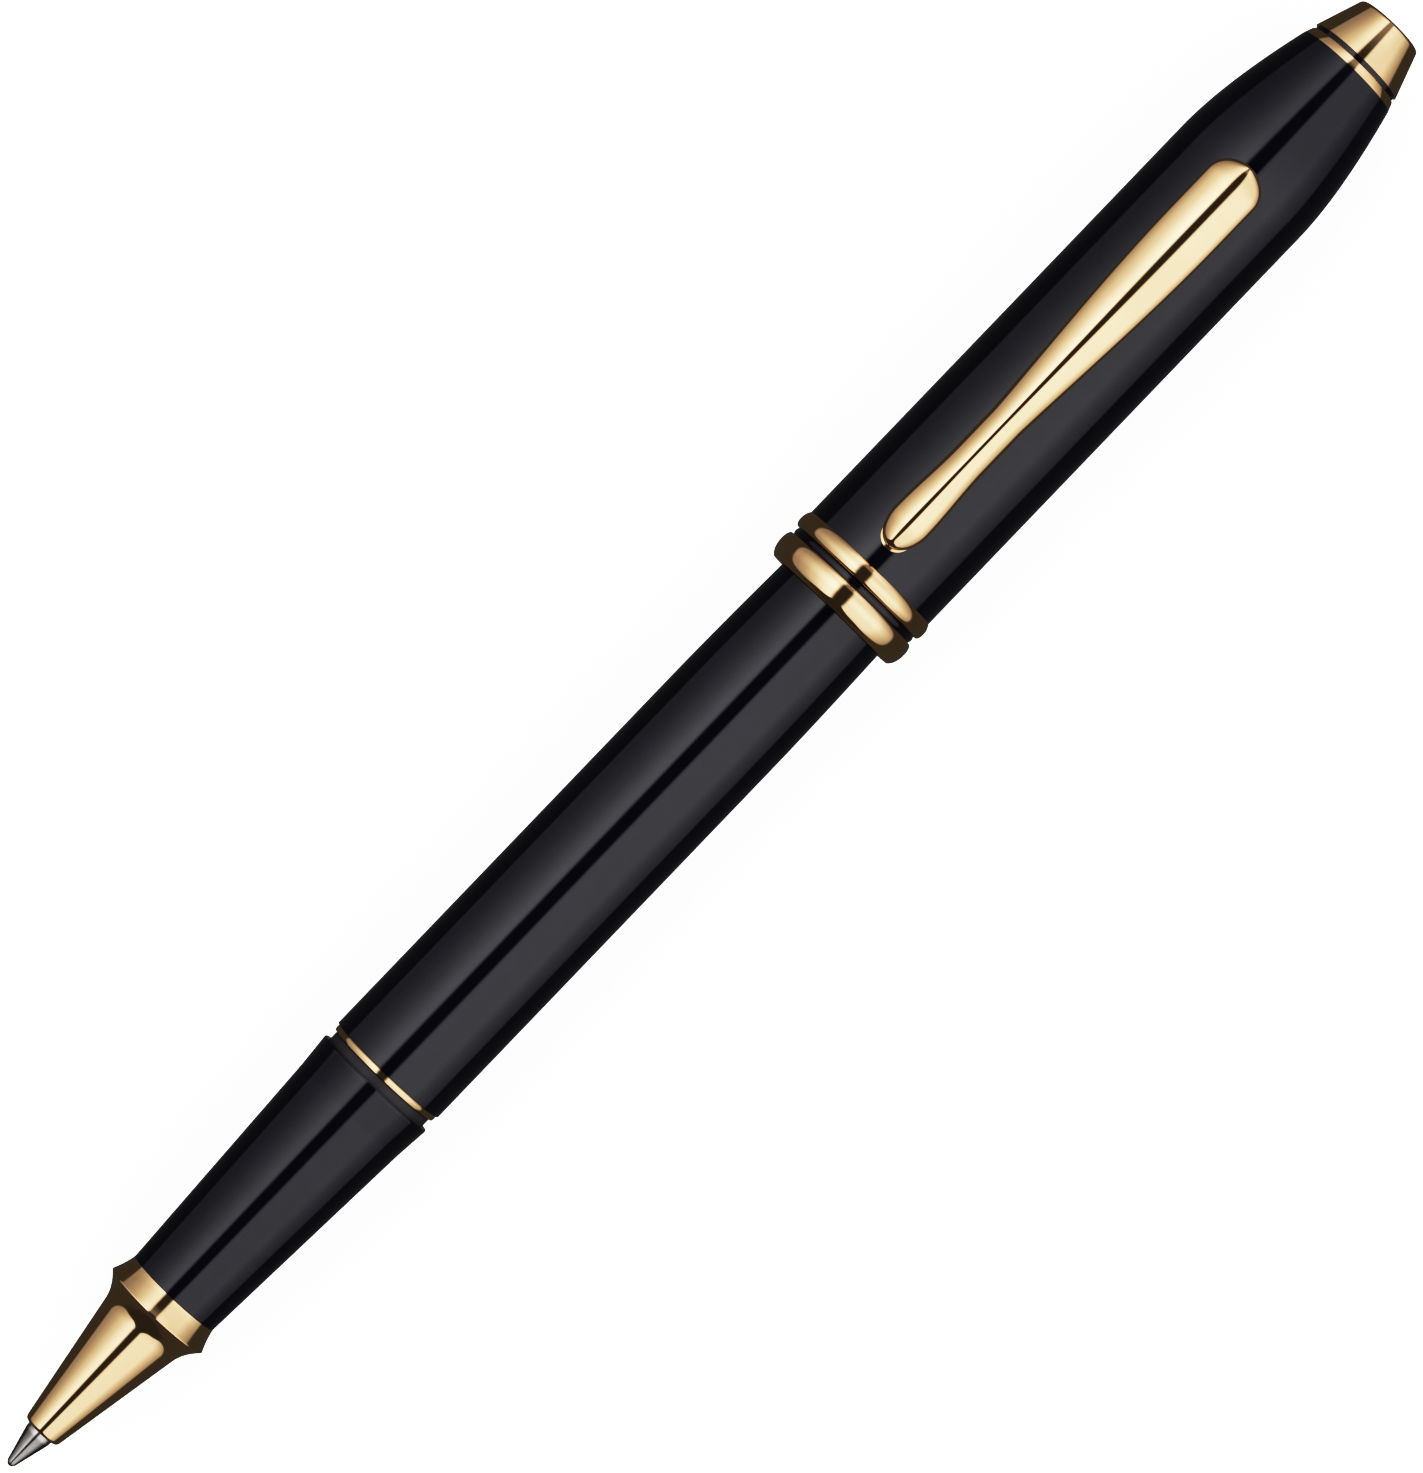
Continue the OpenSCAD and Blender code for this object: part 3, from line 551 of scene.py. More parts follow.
@dataclass(frozen=True)
class Finish:
    """One of the pen's finishes, with the numbers that its material takes."""

    slot: str
    texture: Texture
    colour: tuple[float, float, float]
    second_colour: tuple[float, float, float]
    roughness: float
    roughness_spread: float
    metallic: float = 0.0
    coat: float = 0.0
    coat_ior: float = 1.5
    coat_roughness: float = 0.03
    transmission: float = 0.0
    ior: float = 1.5
    smudge: float = 1.0
    scratch: float = 1.0
    ring_fineness: float = 6000.0
    mottle_scale: float = 300.0
    relief: float = 1e-7
    # Painted shade: where set, the colour in front of this place is darkened to stand for the darker
    # reflection there.
    painted_shade_before: float | None = None
    tone_range: tuple[float, float] = (0.35, 0.65)
    cloud_share: float = 0.6
    smudge_dulling: float = 0.6
    scratch_dulling: float = 0.5
    own_dulling: float = 0.4
    scratch_depth: float = 0.6
    faint_ring: float = 0.15
    dust_wear: float = 0.35
    # Painted shade on the part in front of that place: how much of it shows, its colour and how softly it
    # fades in.
    painted_shade_share: float = 0.34
    painted_shade_colour: tuple[float, float, float] = (0.10, 0.10, 0.09)
    painted_shade_fade: float = 0.1

    def material(self, effects: Effects) -> bpy.types.Material:
        """Build the material.

        Args:
            effects: The shared node groups.

        Returns:
            The material.
        """
        made = bpy.data.materials.new(f"{self.slot}_{self.texture.value}")
        made.use_nodes = True
        graph = Graph(made.node_tree)
        marks = graph.effect(effects.handling, {"Smudge": self.smudge, "Scratch": self.scratch})
        rings = graph.effect(effects.turning, {"Fineness": self.ring_fineness})
        mottle = graph.effect(effects.mottle, {"Scale": self.mottle_scale})
        tone, grain, relief = self.patterns(graph, rings, mottle)
        cloud = graph.math("MULTIPLY", graph.ramp(mottle["Cloud"], *self.tone_range), self.cloud_share)
        share = graph.math("MULTIPLY_ADD", graph.ramp(tone, *self.tone_range), 1 - self.cloud_share, cloud)
        colour = graph.blend(share, (*self.colour, 1.0), (*self.second_colour, 1.0))
        # Painted shade, where the finish asks for it.
        if self.painted_shade_before is not None:
            colour = self.with_painted_shade(graph, colour)
        worn = graph.math("ADD", graph.math("MULTIPLY", marks["Smudges"], self.smudge_dulling),
                          graph.math("MULTIPLY", marks["Scratches"], self.scratch_dulling))
        uneven = graph.math("ADD", worn, graph.math("MULTIPLY", grain, self.own_dulling))
        roughness = graph.math("MULTIPLY_ADD", uneven, self.roughness_spread, self.roughness)
        cut = graph.math("MULTIPLY", marks["Scratches"], self.scratch_depth)
        height = graph.math("SUBTRACT", relief, cut)
        bump = graph.add("Bump", {"Height": height, "Strength": 1.0, "Distance": self.relief})
        shader = graph.add("BsdfPrincipled", {
            "Base Color": colour, "Roughness": roughness, "Normal": bump.outputs[0],
            "Metallic": self.metallic, "IOR": self.ior, "Transmission Weight": self.transmission,
            "Coat IOR": self.coat_ior, "Coat Roughness": self.coat_roughness})
        if self.coat:
            dusty = graph.math("MULTIPLY_ADD", marks["Dust"], -self.dust_wear * self.coat, self.coat)
            graph.tree.links.new(dusty, shader.inputs["Coat Weight"])
        graph.add("OutputMaterial", {"Surface": shader.outputs[0]})
        return made

    def patterns(self, graph: Graph, rings: Sockets, mottle: Sockets) -> tuple[Socket, Socket, Socket]:
        """The patterns that belong to the finish itself.

        Args:
            graph: The material's graph.
            rings: The turned rings.
            mottle: The mottle.

        Returns:
            What varies its colour, what varies its roughness, and its relief.
        """
        if self.texture is Texture.TURNED:
            return rings["Broad rings"], rings["Rings"], rings["Rings"]
        if self.texture is Texture.MOULDED:
            return mottle["Grain"], mottle["Grain"], mottle["Grain"]
        faint = graph.math("MULTIPLY", rings["Rings"], self.faint_ring)
        return mottle["Grain"], mottle["Cloud"], graph.math("ADD", mottle["Cloud"], faint)

    def with_painted_shade(self, graph: Graph, colour: Socket) -> Socket:
        """Paint shade on the colour before a place along the pen: darkening that stands in for the darker
        reflection of the tip's sloping cone.

        Args:
            graph: The material's graph.
            colour: The colour without the painted shade.

        Returns:
            The colour over the whole piece.
        """
        edge, fade = self.painted_shade_before, self.painted_shade_fade * MM
        along = graph.add("SeparateXYZ", {"Vector": place_in(graph)}).outputs["X"]
        painted_shade_mix = graph.ramp(along, edge - fade, edge + fade, self.painted_shade_share, 0.0)
        return graph.blend(painted_shade_mix, colour, (*self.painted_shade_colour, 1.0))


LACQUER = Finish("black_lacquer", Texture.POLISHED, (0.012, 0.0115, 0.026), (0.016, 0.015, 0.034),
                 0.05, 0.10, coat=1.0, coat_ior=1.65, coat_roughness=0.02, mottle_scale=700.0,
                 relief=1.5e-7)
NECK_BLACK = Finish("black_lacquer", Texture.MOULDED, (0.105, 0.100, 0.110), (0.125, 0.120, 0.130),
                    0.32, 0.2, mottle_scale=900.0, relief=1.5e-6)
GOLD = Finish("gold_plate", Texture.POLISHED, (1.0, 0.75, 0.49), (1.0, 0.725, 0.465),
              0.05, 0.10, metallic=1.0, mottle_scale=420.0, smudge=0.7, relief=1e-7)
# Its cone in front of the shoulder gets painted shade, which stands in for the darker reflection that the
# cone shows.
TIP_STEEL = Finish("tip_steel", Texture.TURNED, (0.74, 0.71, 0.70), (0.60, 0.57, 0.56),
                   0.14, 0.20, metallic=1.0, ring_fineness=9000.0, relief=8e-7,
                   painted_shade_before=span("refill_tip").after(2.9))
CARBIDE = Finish("ball_carbide", Texture.MOULDED, (0.52, 0.52, 0.54), (0.36, 0.36, 0.39),
                 0.12, 0.15, metallic=1.0, mottle_scale=4000.0, relief=2e-7)
SPRING_STEEL = Finish("spring_steel", Texture.MOULDED, (0.62, 0.61, 0.60), (0.45, 0.45, 0.46),
                      0.22, 0.25, metallic=1.0, mottle_scale=1200.0, relief=6e-7)
BRASS = Finish("brass", Texture.TURNED, (0.86, 0.66, 0.33), (0.70, 0.50, 0.22),
               0.22, 0.25, metallic=1.0, ring_fineness=4500.0, relief=1.5e-6)
BLACK_PLASTIC = Finish("black_plastic", Texture.MOULDED, (0.022, 0.022, 0.025), (0.036, 0.036, 0.040),
                       0.32, 0.25, mottle_scale=900.0, relief=2e-6)
LINER_PLASTIC = Finish("liner_plastic", Texture.MOULDED, (0.075, 0.075, 0.082), (0.105, 0.104, 0.110),
                       0.48, 0.25, mottle_scale=800.0, relief=3e-6)
CLEAR_PLASTIC = Finish("clear_plastic", Texture.WET, (0.86, 0.90, 0.93), (0.78, 0.83, 0.88),
                       0.06, 0.12, transmission=0.92, ior=1.49, mottle_scale=260.0, relief=4e-7)
INK = Finish("ink", Texture.WET, (0.006, 0.006, 0.022), (0.012, 0.011, 0.036), 0.05, 0.08,
             coat=1.0, coat_ior=1.33, mottle_scale=260.0, relief=3e-7)
GREASE = Finish("grease", Texture.WET, (0.76, 0.66, 0.40), (0.68, 0.57, 0.32), 0.16, 0.2,
                mottle_scale=700.0, relief=2e-6)


class Workshop:
    """Dresses finished pieces and hands them to the frame."""

    def __init__(self) -> None:
        """Build the shared groups and each finish's material."""
        effects = Effects()
        self.materials = {finish: finish.material(effects) for finish in (
            LACQUER, NECK_BLACK, GOLD, TIP_STEEL, CARBIDE, SPRING_STEEL, BRASS, BLACK_PLASTIC, LINER_PLASTIC,
            CLEAR_PLASTIC, INK, GREASE)}

    def fit(self, piece: bpy.types.Object, finish: Finish, node: str,
            body: Body | None = None) -> bpy.types.Object:
        """Give a piece its finish and slot, and let it stand for a CAD node and ride on a body.

        Args:
            piece: The finished piece.
            finish: Its finish.
            node: The CAD node that it replaces.
            body: The body that carries it, or None where it stretches between two.

        Returns:
            The piece.
        """
        piece.data.materials.append(self.materials[finish])
        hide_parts(node)
        if body:
            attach(piece, body.value)
            piece.modifiers.new("weighted normals", "WEIGHTED_NORMAL").keep_sharp = True
        LOG.info("%s: %d faces, %s", piece.name, len(piece.data.polygons), finish.slot)
        return piece


# ---------------------------------------------------------------- threads


@dataclass(frozen=True)
class Thread:
    """A two-start screw thread about the pen's axis, in millimetres."""

    lead: float = 1.5
    starts: int = 2
    foot: float = 0.56
    crest: float = 0.16
    root_depth: float = 0.24
    sunk: float = 0.1
    steps_per_turn: int = 48

    def cut(self, piece: bpy.types.Object, start: float, end: float, foot_radius: float,
            crest_radius: float) -> None:
        """Add the thread's ridges to a piece's mesh.

        Args:
            piece: The piece, whose wall the ridges stand on.
            start: Where the first ridge starts, in metres.
            end: Where the last one ends, in metres.
            foot_radius: Radius of the ridge's foot, inside the wall.
            crest_radius: Radius of the ridge's crest.
        """
        mesh = bmesh.new()
        mesh.from_mesh(piece.data)
        centre, foot, crest = (0, 0, AXIS_Z), self.foot / 2, self.crest / 2
        steps = round(((end - start) / MM - self.foot) / self.lead * self.steps_per_turn)
        ridge = ((-foot, foot_radius), (-crest, crest_radius), (crest, crest_radius), (foot, foot_radius))
        for number in range(self.starts):
            points, edges = draw_line(mesh, ((start + (foot + along) * MM, 0.0, AXIS_Z + radius * MM)
                                             for along, radius in ridge))
            bmesh.ops.rotate(mesh, verts=points, cent=centre,
                             matrix=Matrix.Rotation(math.tau * number / self.starts, 3, "X"))
            bmesh.ops.spin(mesh, geom=points + edges, cent=centre, axis=PEN_DIRECTION,
                           angle=math.tau * steps / self.steps_per_turn, steps=steps,
                           dvec=(self.lead * MM / self.steps_per_turn, 0, 0))
        close_ends(mesh)
        bmesh.ops.recalc_face_normals(mesh, faces=mesh.faces)
        mark_edges(mesh)
        mesh.to_mesh(piece.data)
        mesh.free()


# ---------------------------------------------------------------- the pen's sub-assemblies


@dataclass
class Assembly:
    """Pieces that one workshop dresses and one body carries."""

    shop: Workshop
    body: ClassVar[Body]

    def turn(self, outline: Outline, name: str, finish: Finish, node: str,
             steps: int = HIDDEN_STEPS) -> None:
        """Spin an outline about the pen's axis, and fit the piece in place of a CAD node."""
        self.shop.fit(outline.spin(name, steps), finish, node, self.body)


@dataclass
class Barrel(Assembly):
    """The lacquered barrel, its gold ring, its threaded bushing, its tail plug and the spring."""

    body = Body.BARREL
    wall: float = 0.45
    taper_length: float = 46.5
    taper_power: float = 1.6
    edge: float = 0.07
    glue: float = 0.02
    plug_seat: float = 2.0
    ring_crown: float = 0.05
    bushing_edge: float = 0.08
    bushing_chamfer: float = 0.1
    thread_height: float = 0.49
    lead_in: float = 0.5
    run_out: float = 0.4
    plug_edge: float = 0.15
    plug_flat: float = 0.6
    centre_hole: tuple[float, float, float] = (0.9, 0.55, 0.25)  # mouth, bottom, depth
    coil_wire: float = 0.4
    coil_turns: int = 8
    coil_radius: float = 2.3
    coil_steps: int = 40
    wire_segments: int = 12

    def __post_init__(self) -> None:
        """Read the barrel's places from the frame."""
        self.tube = span("barrel_tube")
        self.plug = span("tail_plug")
        self.radius = self.tube.radius / MM
        self.tail_radius = self.plug.radius / MM
        self.taper_start = self.tube.before(self.taper_length)

    def radius_at(self, place: float) -> float:
        """Radius of the barrel's outside in millimetres, at a place in metres."""
        share = max(0.0, (place - self.taper_start) / MM / self.taper_length)
        return self.radius - (self.radius - self.tail_radius) * share ** self.taper_power

    def build(self) -> None:
        """Build every piece of the barrel."""
        self.build_tube()
        self.build_ring()
        self.build_bushing()
        self.build_plug()
        self.build_spring()

    def build_tube(self) -> None:
        """The barrel itself, with its long tapered tail."""
        tube, inner, tail_inner = self.tube, self.radius - self.wall, self.tail_radius - self.wall
        seat = tube.before(self.plug_seat)
        outline = Outline().to(tube.front, inner).to(tube.front, self.radius, self.edge)
        outline.follow(self.radius_at, self.taper_start, tube.before(0.01), 2 * BAND_CURVE)
        outline.to(tube.rear, self.tail_radius, self.edge / 2)
        outline.to(tube.rear, tail_inner).to(seat, tail_inner)
        outline.follow(lambda place: self.radius_at(place) - self.wall, seat, self.taper_start, BAND_CURVE)
        self.turn(outline, "barrel", LACQUER, "barrel_tube", SHOWN_STEPS)

    def build_ring(self) -> None:
        """The thin gold ring in front of the barrel."""
        ring = span("barrel_ring")
        middle, outer = (ring.front + ring.rear) / 2, ring.radius / MM
        inner = self.radius - self.wall + self.glue
        outline = Outline().to(ring.front, inner).to(ring.front, outer - self.ring_crown)
        outline.bend((middle, outer + self.ring_crown), (ring.rear, outer - self.ring_crown), SMALL_CURVE)
        outline.to(ring.rear, inner)
        self.turn(outline, "barrel_front_ring", GOLD, "barrel_ring", SHOWN_STEPS)

    def build_bushing(self) -> None:
        """The brass bushing, with the thread that the grip screws into."""
        place, thread = span("barrel_bushing"), Thread()
        outer = place.radius / MM
        crest = outer - self.thread_height
        root = crest + thread.root_depth
        outline = Outline().to(place.front, root, self.bushing_chamfer)
        outline.to(place.front, outer, self.bushing_edge).to(place.rear, outer, self.bushing_edge)
        outline.to(place.rear, root, self.bushing_chamfer)
        bushing = outline.spin("barrel_bushing_threaded", HIDDEN_STEPS)
        thread.cut(bushing, place.after(self.lead_in), place.before(self.run_out), root + thread.sunk, crest)
        self.shop.fit(bushing, BRASS, "barrel_bushing", self.body)

    def build_plug(self) -> None:
        """The gold plug in the barrel's tail."""
        plug, head, radius = self.plug, self.tube.rear, self.tail_radius
        neck = radius - self.wall - self.glue
        mouth, bottom, depth = self.centre_hole
        outline = Outline().to(plug.front, 0.0).to(plug.front, neck, self.plug_edge).to(head, neck)
        outline.to(head, radius - self.glue)
        outline.bend((plug.rear, radius - 3 * self.glue), (plug.rear, radius * self.plug_flat))
        outline.to(plug.rear, mouth, FINE).to(plug.before(depth), bottom, FINE).to(plug.before(depth), 0.0)
        self.turn(outline, "tail_plug_turned", GOLD, "tail_plug")

    def build_spring(self) -> None:
        """The coil spring: one closed turn at each end and an even pitch between, wound in three spins."""
        coil, wire, steps = span("refill_spring"), self.coil_wire * MM, self.coil_steps
        middle = Vector((coil.front + wire / 2, 0.0, AXIS_Z + self.coil_radius * MM))
        mesh = bmesh.new()
        bmesh.ops.create_circle(mesh, segments=self.wire_segments, radius=wire / 2,
                                matrix=Matrix.Translation(middle) @ Matrix.Rotation(math.pi / 2, 4, "X"))
        active = self.coil_turns - 2
        open_pitch = (coil.rear - coil.front - 3 * wire) / active
        last = mesh.verts[:] + mesh.edges[:]
        for turns, pitch in ((1, wire), (active, open_pitch), (1, wire)):
            wound = bmesh.ops.spin(mesh, geom=last, cent=(0, 0, AXIS_Z), axis=PEN_DIRECTION,
                                   dvec=(pitch / steps, 0, 0), angle=math.tau * turns, steps=steps * turns)
            last = wound["geom_last"]
        close_ends(mesh)
        spring = self.shop.fit(finish_mesh(mesh, "refill_coil_spring"), SPRING_STEEL, "refill_spring")
        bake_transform(spring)


@dataclass
class Refill(Assembly):
    """The refill: ball, steel tip, feed, clear tube with ink and grease, and rear plug."""

    body = Body.REFILL
    ball_radius: float = 0.35
    tip_radius: float = 1.16
    tip_cone: float = 2.95
    tip_front_radius: float = 0.4
    crimp: tuple[float, float] = (0.22, 0.30)  # places of its two creases
    crimp_step: tuple[float, float] = (0.05, 0.07)  # how far each stands out
    lip_radius: float = 0.372
    ball_play: float = 0.03
    ball_way: float = 0.15
    ball_steps: int = 32
    chamber: tuple[float, ...] = (0.08, 0.3, 0.45, 1.6, 2.0)  # the ball's seat, its ink way and the bore
    shank: float = 3.1
    tip_groove: tuple[float, float, float] = (0.5, 0.06, 0.1)  # width, depth, flank
    way_radius: float = 0.6
    feed_radius: float = 2.0
    feed_nose: tuple[float, float] = (0.35, 0.25)  # length, rise
    feed_grooves: tuple[float, ...] = (1.2, 1.9, 2.6)
    feed_groove: tuple[float, float, float] = (0.3, 0.12, 0.05)  # width, depth, flank
    wall: float = 0.6
    tube_edge: float = 0.1
    spigot_length: float = 1.5
    ink_bowl: float = 0.5
    grease_bowl: float = 0.8
    bowl_spread: float = 0.6
    nib: float = 1.9
    nib_length: float = 1.5
    plug_ribs: tuple[float, ...] = (1.0, 2.2)
    glue: float = 0.02

    def build(self) -> None:
        """Build every piece of the refill."""
        self.build_ball()
        self.build_tip()
        self.build_feed()
        self.build_tube()
        self.build_contents()
        self.build_end_plug()

    def build_ball(self) -> None:
        """The writing ball, spun from a half circle."""
        ball = span("refill_ball")
        centre = (ball.front + ball.rear) / 2
        outline = Outline()
        for i in range(self.ball_steps + 1):
            angle = math.pi * i / self.ball_steps
            radius = self.ball_radius * math.sin(angle) if 0 < i < self.ball_steps else 0.0
            outline.to(centre - self.ball_radius * MM * math.cos(angle), radius)
        self.shop.fit(outline.spin("writing_ball", HIDDEN_STEPS), CARBIDE, "refill_ball", Body.BALL)

    def build_tip(self) -> None:
        """The steel tip: a crimped rim, a slim cone, a shoulder ring and a straight shank."""
        tip, radius, front = span("refill_tip"), self.tip_radius, self.tip_front_radius
        seat, way, bore = self.ball_radius + self.ball_play, self.ball_way, self.way_radius
        outline = Outline().to(tip.front, self.lip_radius).to(tip.front, front, 0.02)
        for along, rise in zip(self.crimp, self.crimp_step):
            outline.to(tip.after(along), front + rise, CRISP)
        start, (width, depth, flank) = self.tip_cone + self.shank, self.tip_groove
        outline.to(tip.after(self.tip_cone), radius, SOFT).to(tip.after(start), radius, FINE)
        for along in (flank, width - flank):
            outline.to(tip.after(start + along), radius - depth, CRISP)
        outline.to(tip.after(start + width), radius, FINE).to(tip.rear, radius, EASED)
        seat_front, seat_rear, way_front, way_rear, bore_front = (tip.after(d) for d in self.chamber)
        outline.to(tip.rear, bore).to(bore_front, bore).to(way_rear, way).to(way_front, way)
        outline.to(seat_rear, seat - SOFT).to(seat_front, seat)
        self.turn(outline, "tip_crimped", TIP_STEEL, "refill_tip", SHOWN_STEPS)

    def build_feed(self) -> None:
        """The slim black feed between the tip and the tube."""
        feed, tube = span("refill_feed"), span("refill_tube")
        slim, outer = self.feed_radius, tube.radius / MM
        seat, spigot = tube.front - self.spigot_length * MM, outer - self.wall - self.glue
        tip_rear = span("refill_tip").rear
        nose_length, nose_rise = self.feed_nose
        outline = Outline().to(feed.front, self.tip_radius).to(feed.front, slim - nose_rise, FINE)
        outline.to(feed.after(nose_length), slim, SOFT)
        for groove in self.feed_grooves:
            outline.groove(feed.after(groove), slim, self.feed_groove, CRISP)
        outline.to(seat, slim, SOFT).to(seat, outer, 0.12).to(tube.front, outer, 0.04)
        outline.to(tube.front, spigot).to(feed.rear, spigot, BLUNT).to(feed.rear, self.way_radius)
        outline.to(tip_rear, self.way_radius).to(tip_rear, self.tip_radius)
        self.turn(outline, "feed_grooved", BLACK_PLASTIC, "refill_feed")

    def build_tube(self) -> None:
        """The clear tube, with lightly rounded ends."""
        tube = span("refill_tube")
        outer, inner = tube.radius / MM, tube.radius / MM - self.wall
        outline = Outline().to(tube.front, inner).to(tube.front, outer, self.tube_edge)
        outline.to(tube.rear, outer, self.tube_edge).to(tube.rear, inner)
        self.turn(outline, "ink_tube_clear", CLEAR_PLASTIC, "refill_tube")

    def build_contents(self) -> None:
        """The ink and the grease that follows it, each with a curved surface behind."""
        ink, grease = span("ink_column"), span("ink_follower")
        inner, bowl = ink.radius / MM, self.ink_bowl
        sag = inner * self.bowl_spread
        outline = Outline().to(ink.front, 0.0).to(ink.front, inner).to(ink.rear, inner)
        outline.bend((ink.before(bowl), sag), (ink.before(bowl), 0.0))
        self.turn(outline, "ink_filling", INK, "ink_column")
        front, rear = grease.front - bowl * MM, grease.before(self.grease_bowl)
        outline = Outline().to(front, 0.0).bend((front, sag), (grease.front, inner))
        outline.to(grease.rear, inner).bend((rear, sag), (rear, 0.0))
        self.turn(outline, "grease_plug", GREASE, "ink_follower")

    def build_end_plug(self) -> None:
        """The vented rear plug, with the nib that centres the spring."""
        plug, tube = span("refill_end_plug"), span("refill_tube")
        outer, spigot = tube.radius / MM, tube.radius / MM - self.wall - self.glue
        face = plug.before(self.nib_length)
        outline = Outline().to(plug.front, self.way_radius).to(plug.front, spigot, ROUND)
        for rib in self.plug_ribs:
            for along, drop in ((0.0, 0.0), (0.15, 0.15), (0.6, 0.0)):
                outline.to(plug.after(rib + along), spigot - drop, FINE)
        outline.to(tube.rear, spigot).to(tube.rear, outer, EASED).to(face, outer, BLUNT)
        outline.to(face, self.nib, SOFT).to(plug.rear, self.nib, 0.3).to(plug.rear, self.way_radius, SOFT)
        self.turn(outline, "rear_plug_vented", BLACK_PLASTIC, "refill_end_plug")


@dataclass
class Section(Assembly):
    """The grip section: lacquered grip, gold nose cone and threaded coupler."""

    body = Body.SECTION
    neck_length: float = 0.8
    neck_radius: float = 4.91
    front_radius: float = 4.15
    spigot_radius: float = 3.6
    sweep_length: float = 2.9
    sweep_rise: float = 0.24
    sweep_end: float = 0.12
    rear_edge: float = 0.06
    glue: float = 0.02
    mouth_radius: float = 1.7
    mouth_edge: float = 0.35
    waist_radius: float = 3.57
    rim_back: float = 1.85
    rim_width: float = 0.07
    hollow_length: float = 2.09
    bore_radius: float = 1.22
    refill_radius: float = 2.1
    stop_back: float = 5.8
    stop_length: float = 0.88
    hollow_turn: tuple[float, float] = (1.04, 0.18)  # behind the waist, above it
    flare_turn: tuple[float, float] = (0.95, -0.44)  # behind the rim, below it
    coupler_radius: float = 4.0
    coupler_bore: float = 3.2
    lead_in: float = 0.35
    run_out: float = 0.3
    edge: float = 0.05

    def build(self) -> None:
        """Build every piece of the grip section."""
        self.build_grip()
        self.build_nose()
        self.build_coupler()

    def build_grip(self) -> None:
        """The grip: nearly straight, with a last short sweep out to the barrel's size."""
        grip, nose, coupler = span("grip_section"), span("nose_cone"), span("section_coupler")
        rear, step = grip.radius / MM, grip.before(self.neck_length)
        sweep, rise = self.sweep_length * MM, self.sweep_rise
        spigot, seat = self.spigot_radius + self.glue, self.coupler_radius + self.glue
        bore = self.coupler_bore - self.edge
        outline = Outline().to(grip.front, spigot).to(grip.front, self.front_radius, self.edge)
        outline.to(step - sweep, rear - rise)
        outline.bend((step - sweep / 2, rear - rise / 2), (step - self.sweep_end * MM, rear))
        outline.to(step, rear - self.rear_edge).to(step, seat).to(coupler.front, seat).to(coupler.front, bore)
        outline.to(nose.rear, bore).to(nose.rear, spigot)
        self.turn(outline, "grip", LACQUER, "grip_section", SHOWN_STEPS)

        outline = Outline().to(step, seat).to(step, self.neck_radius)
        outline.to(grip.rear, self.neck_radius, self.rear_edge).to(grip.rear, seat)
        self.turn(outline, "grip_neck", NECK_BLACK, "grip_section", SHOWN_STEPS)

    def build_nose(self) -> None:
        """The nose cone, hollowed before and behind its sharp rim."""
        nose, grip = span("nose_cone"), span("grip_section")
        rim_radius, rim = nose.radius / MM, grip.front - self.rim_back * MM
        hollow, stop = rim - self.hollow_length * MM, nose.after(self.stop_back)
        waist, edge = self.waist_radius, self.mouth_edge
        (hollow_along, hollow_rise), (flare_along, flare_rise) = self.hollow_turn, self.flare_turn
        outline = Outline().to(nose.front, self.bore_radius, FINE).to(nose.front, self.mouth_radius - edge)
        outline.bend((nose.front, self.mouth_radius - edge / 5), (nose.after(edge), self.mouth_radius),
                     SMALL_CURVE)
        outline.to(hollow, waist)
        outline.bend((hollow + hollow_along * MM, waist + hollow_rise),
                     (rim - self.rim_width * MM, rim_radius))
        outline.to(rim, rim_radius, 0.02)
        outline.bend((rim + flare_along * MM, rim_radius + flare_rise), (grip.front, self.front_radius))
        outline.to(grip.front, self.spigot_radius).to(nose.rear, self.spigot_radius, SOFT)
        outline.to(nose.rear, self.refill_radius, SOFT).to(stop, self.refill_radius)
        outline.to(stop - self.stop_length * MM, self.bore_radius)
        self.turn(outline, "nose", GOLD, "nose_cone", SHOWN_STEPS)

    def build_coupler(self) -> None:
        """The brass coupler, with the thread that screws into the barrel."""
        place, neck_end, thread = span("section_coupler"), span("grip_section").rear, Thread()
        crest = place.radius / MM
        root = crest - thread.root_depth
        outline = Outline().to(place.front, self.coupler_bore).to(place.front, self.coupler_radius, SOFT)
        outline.to(neck_end, self.coupler_radius).to(neck_end, root).to(place.rear, root, ROUND)
        outline.to(place.rear, self.coupler_bore, SOFT)
        coupler = outline.spin("coupler_threaded", HIDDEN_STEPS)
        start, end = neck_end + self.lead_in * MM, place.before(self.run_out)
        thread.cut(coupler, start, end, root - thread.sunk, crest)
        self.shop.fit(coupler, BRASS, "section_coupler", self.body)


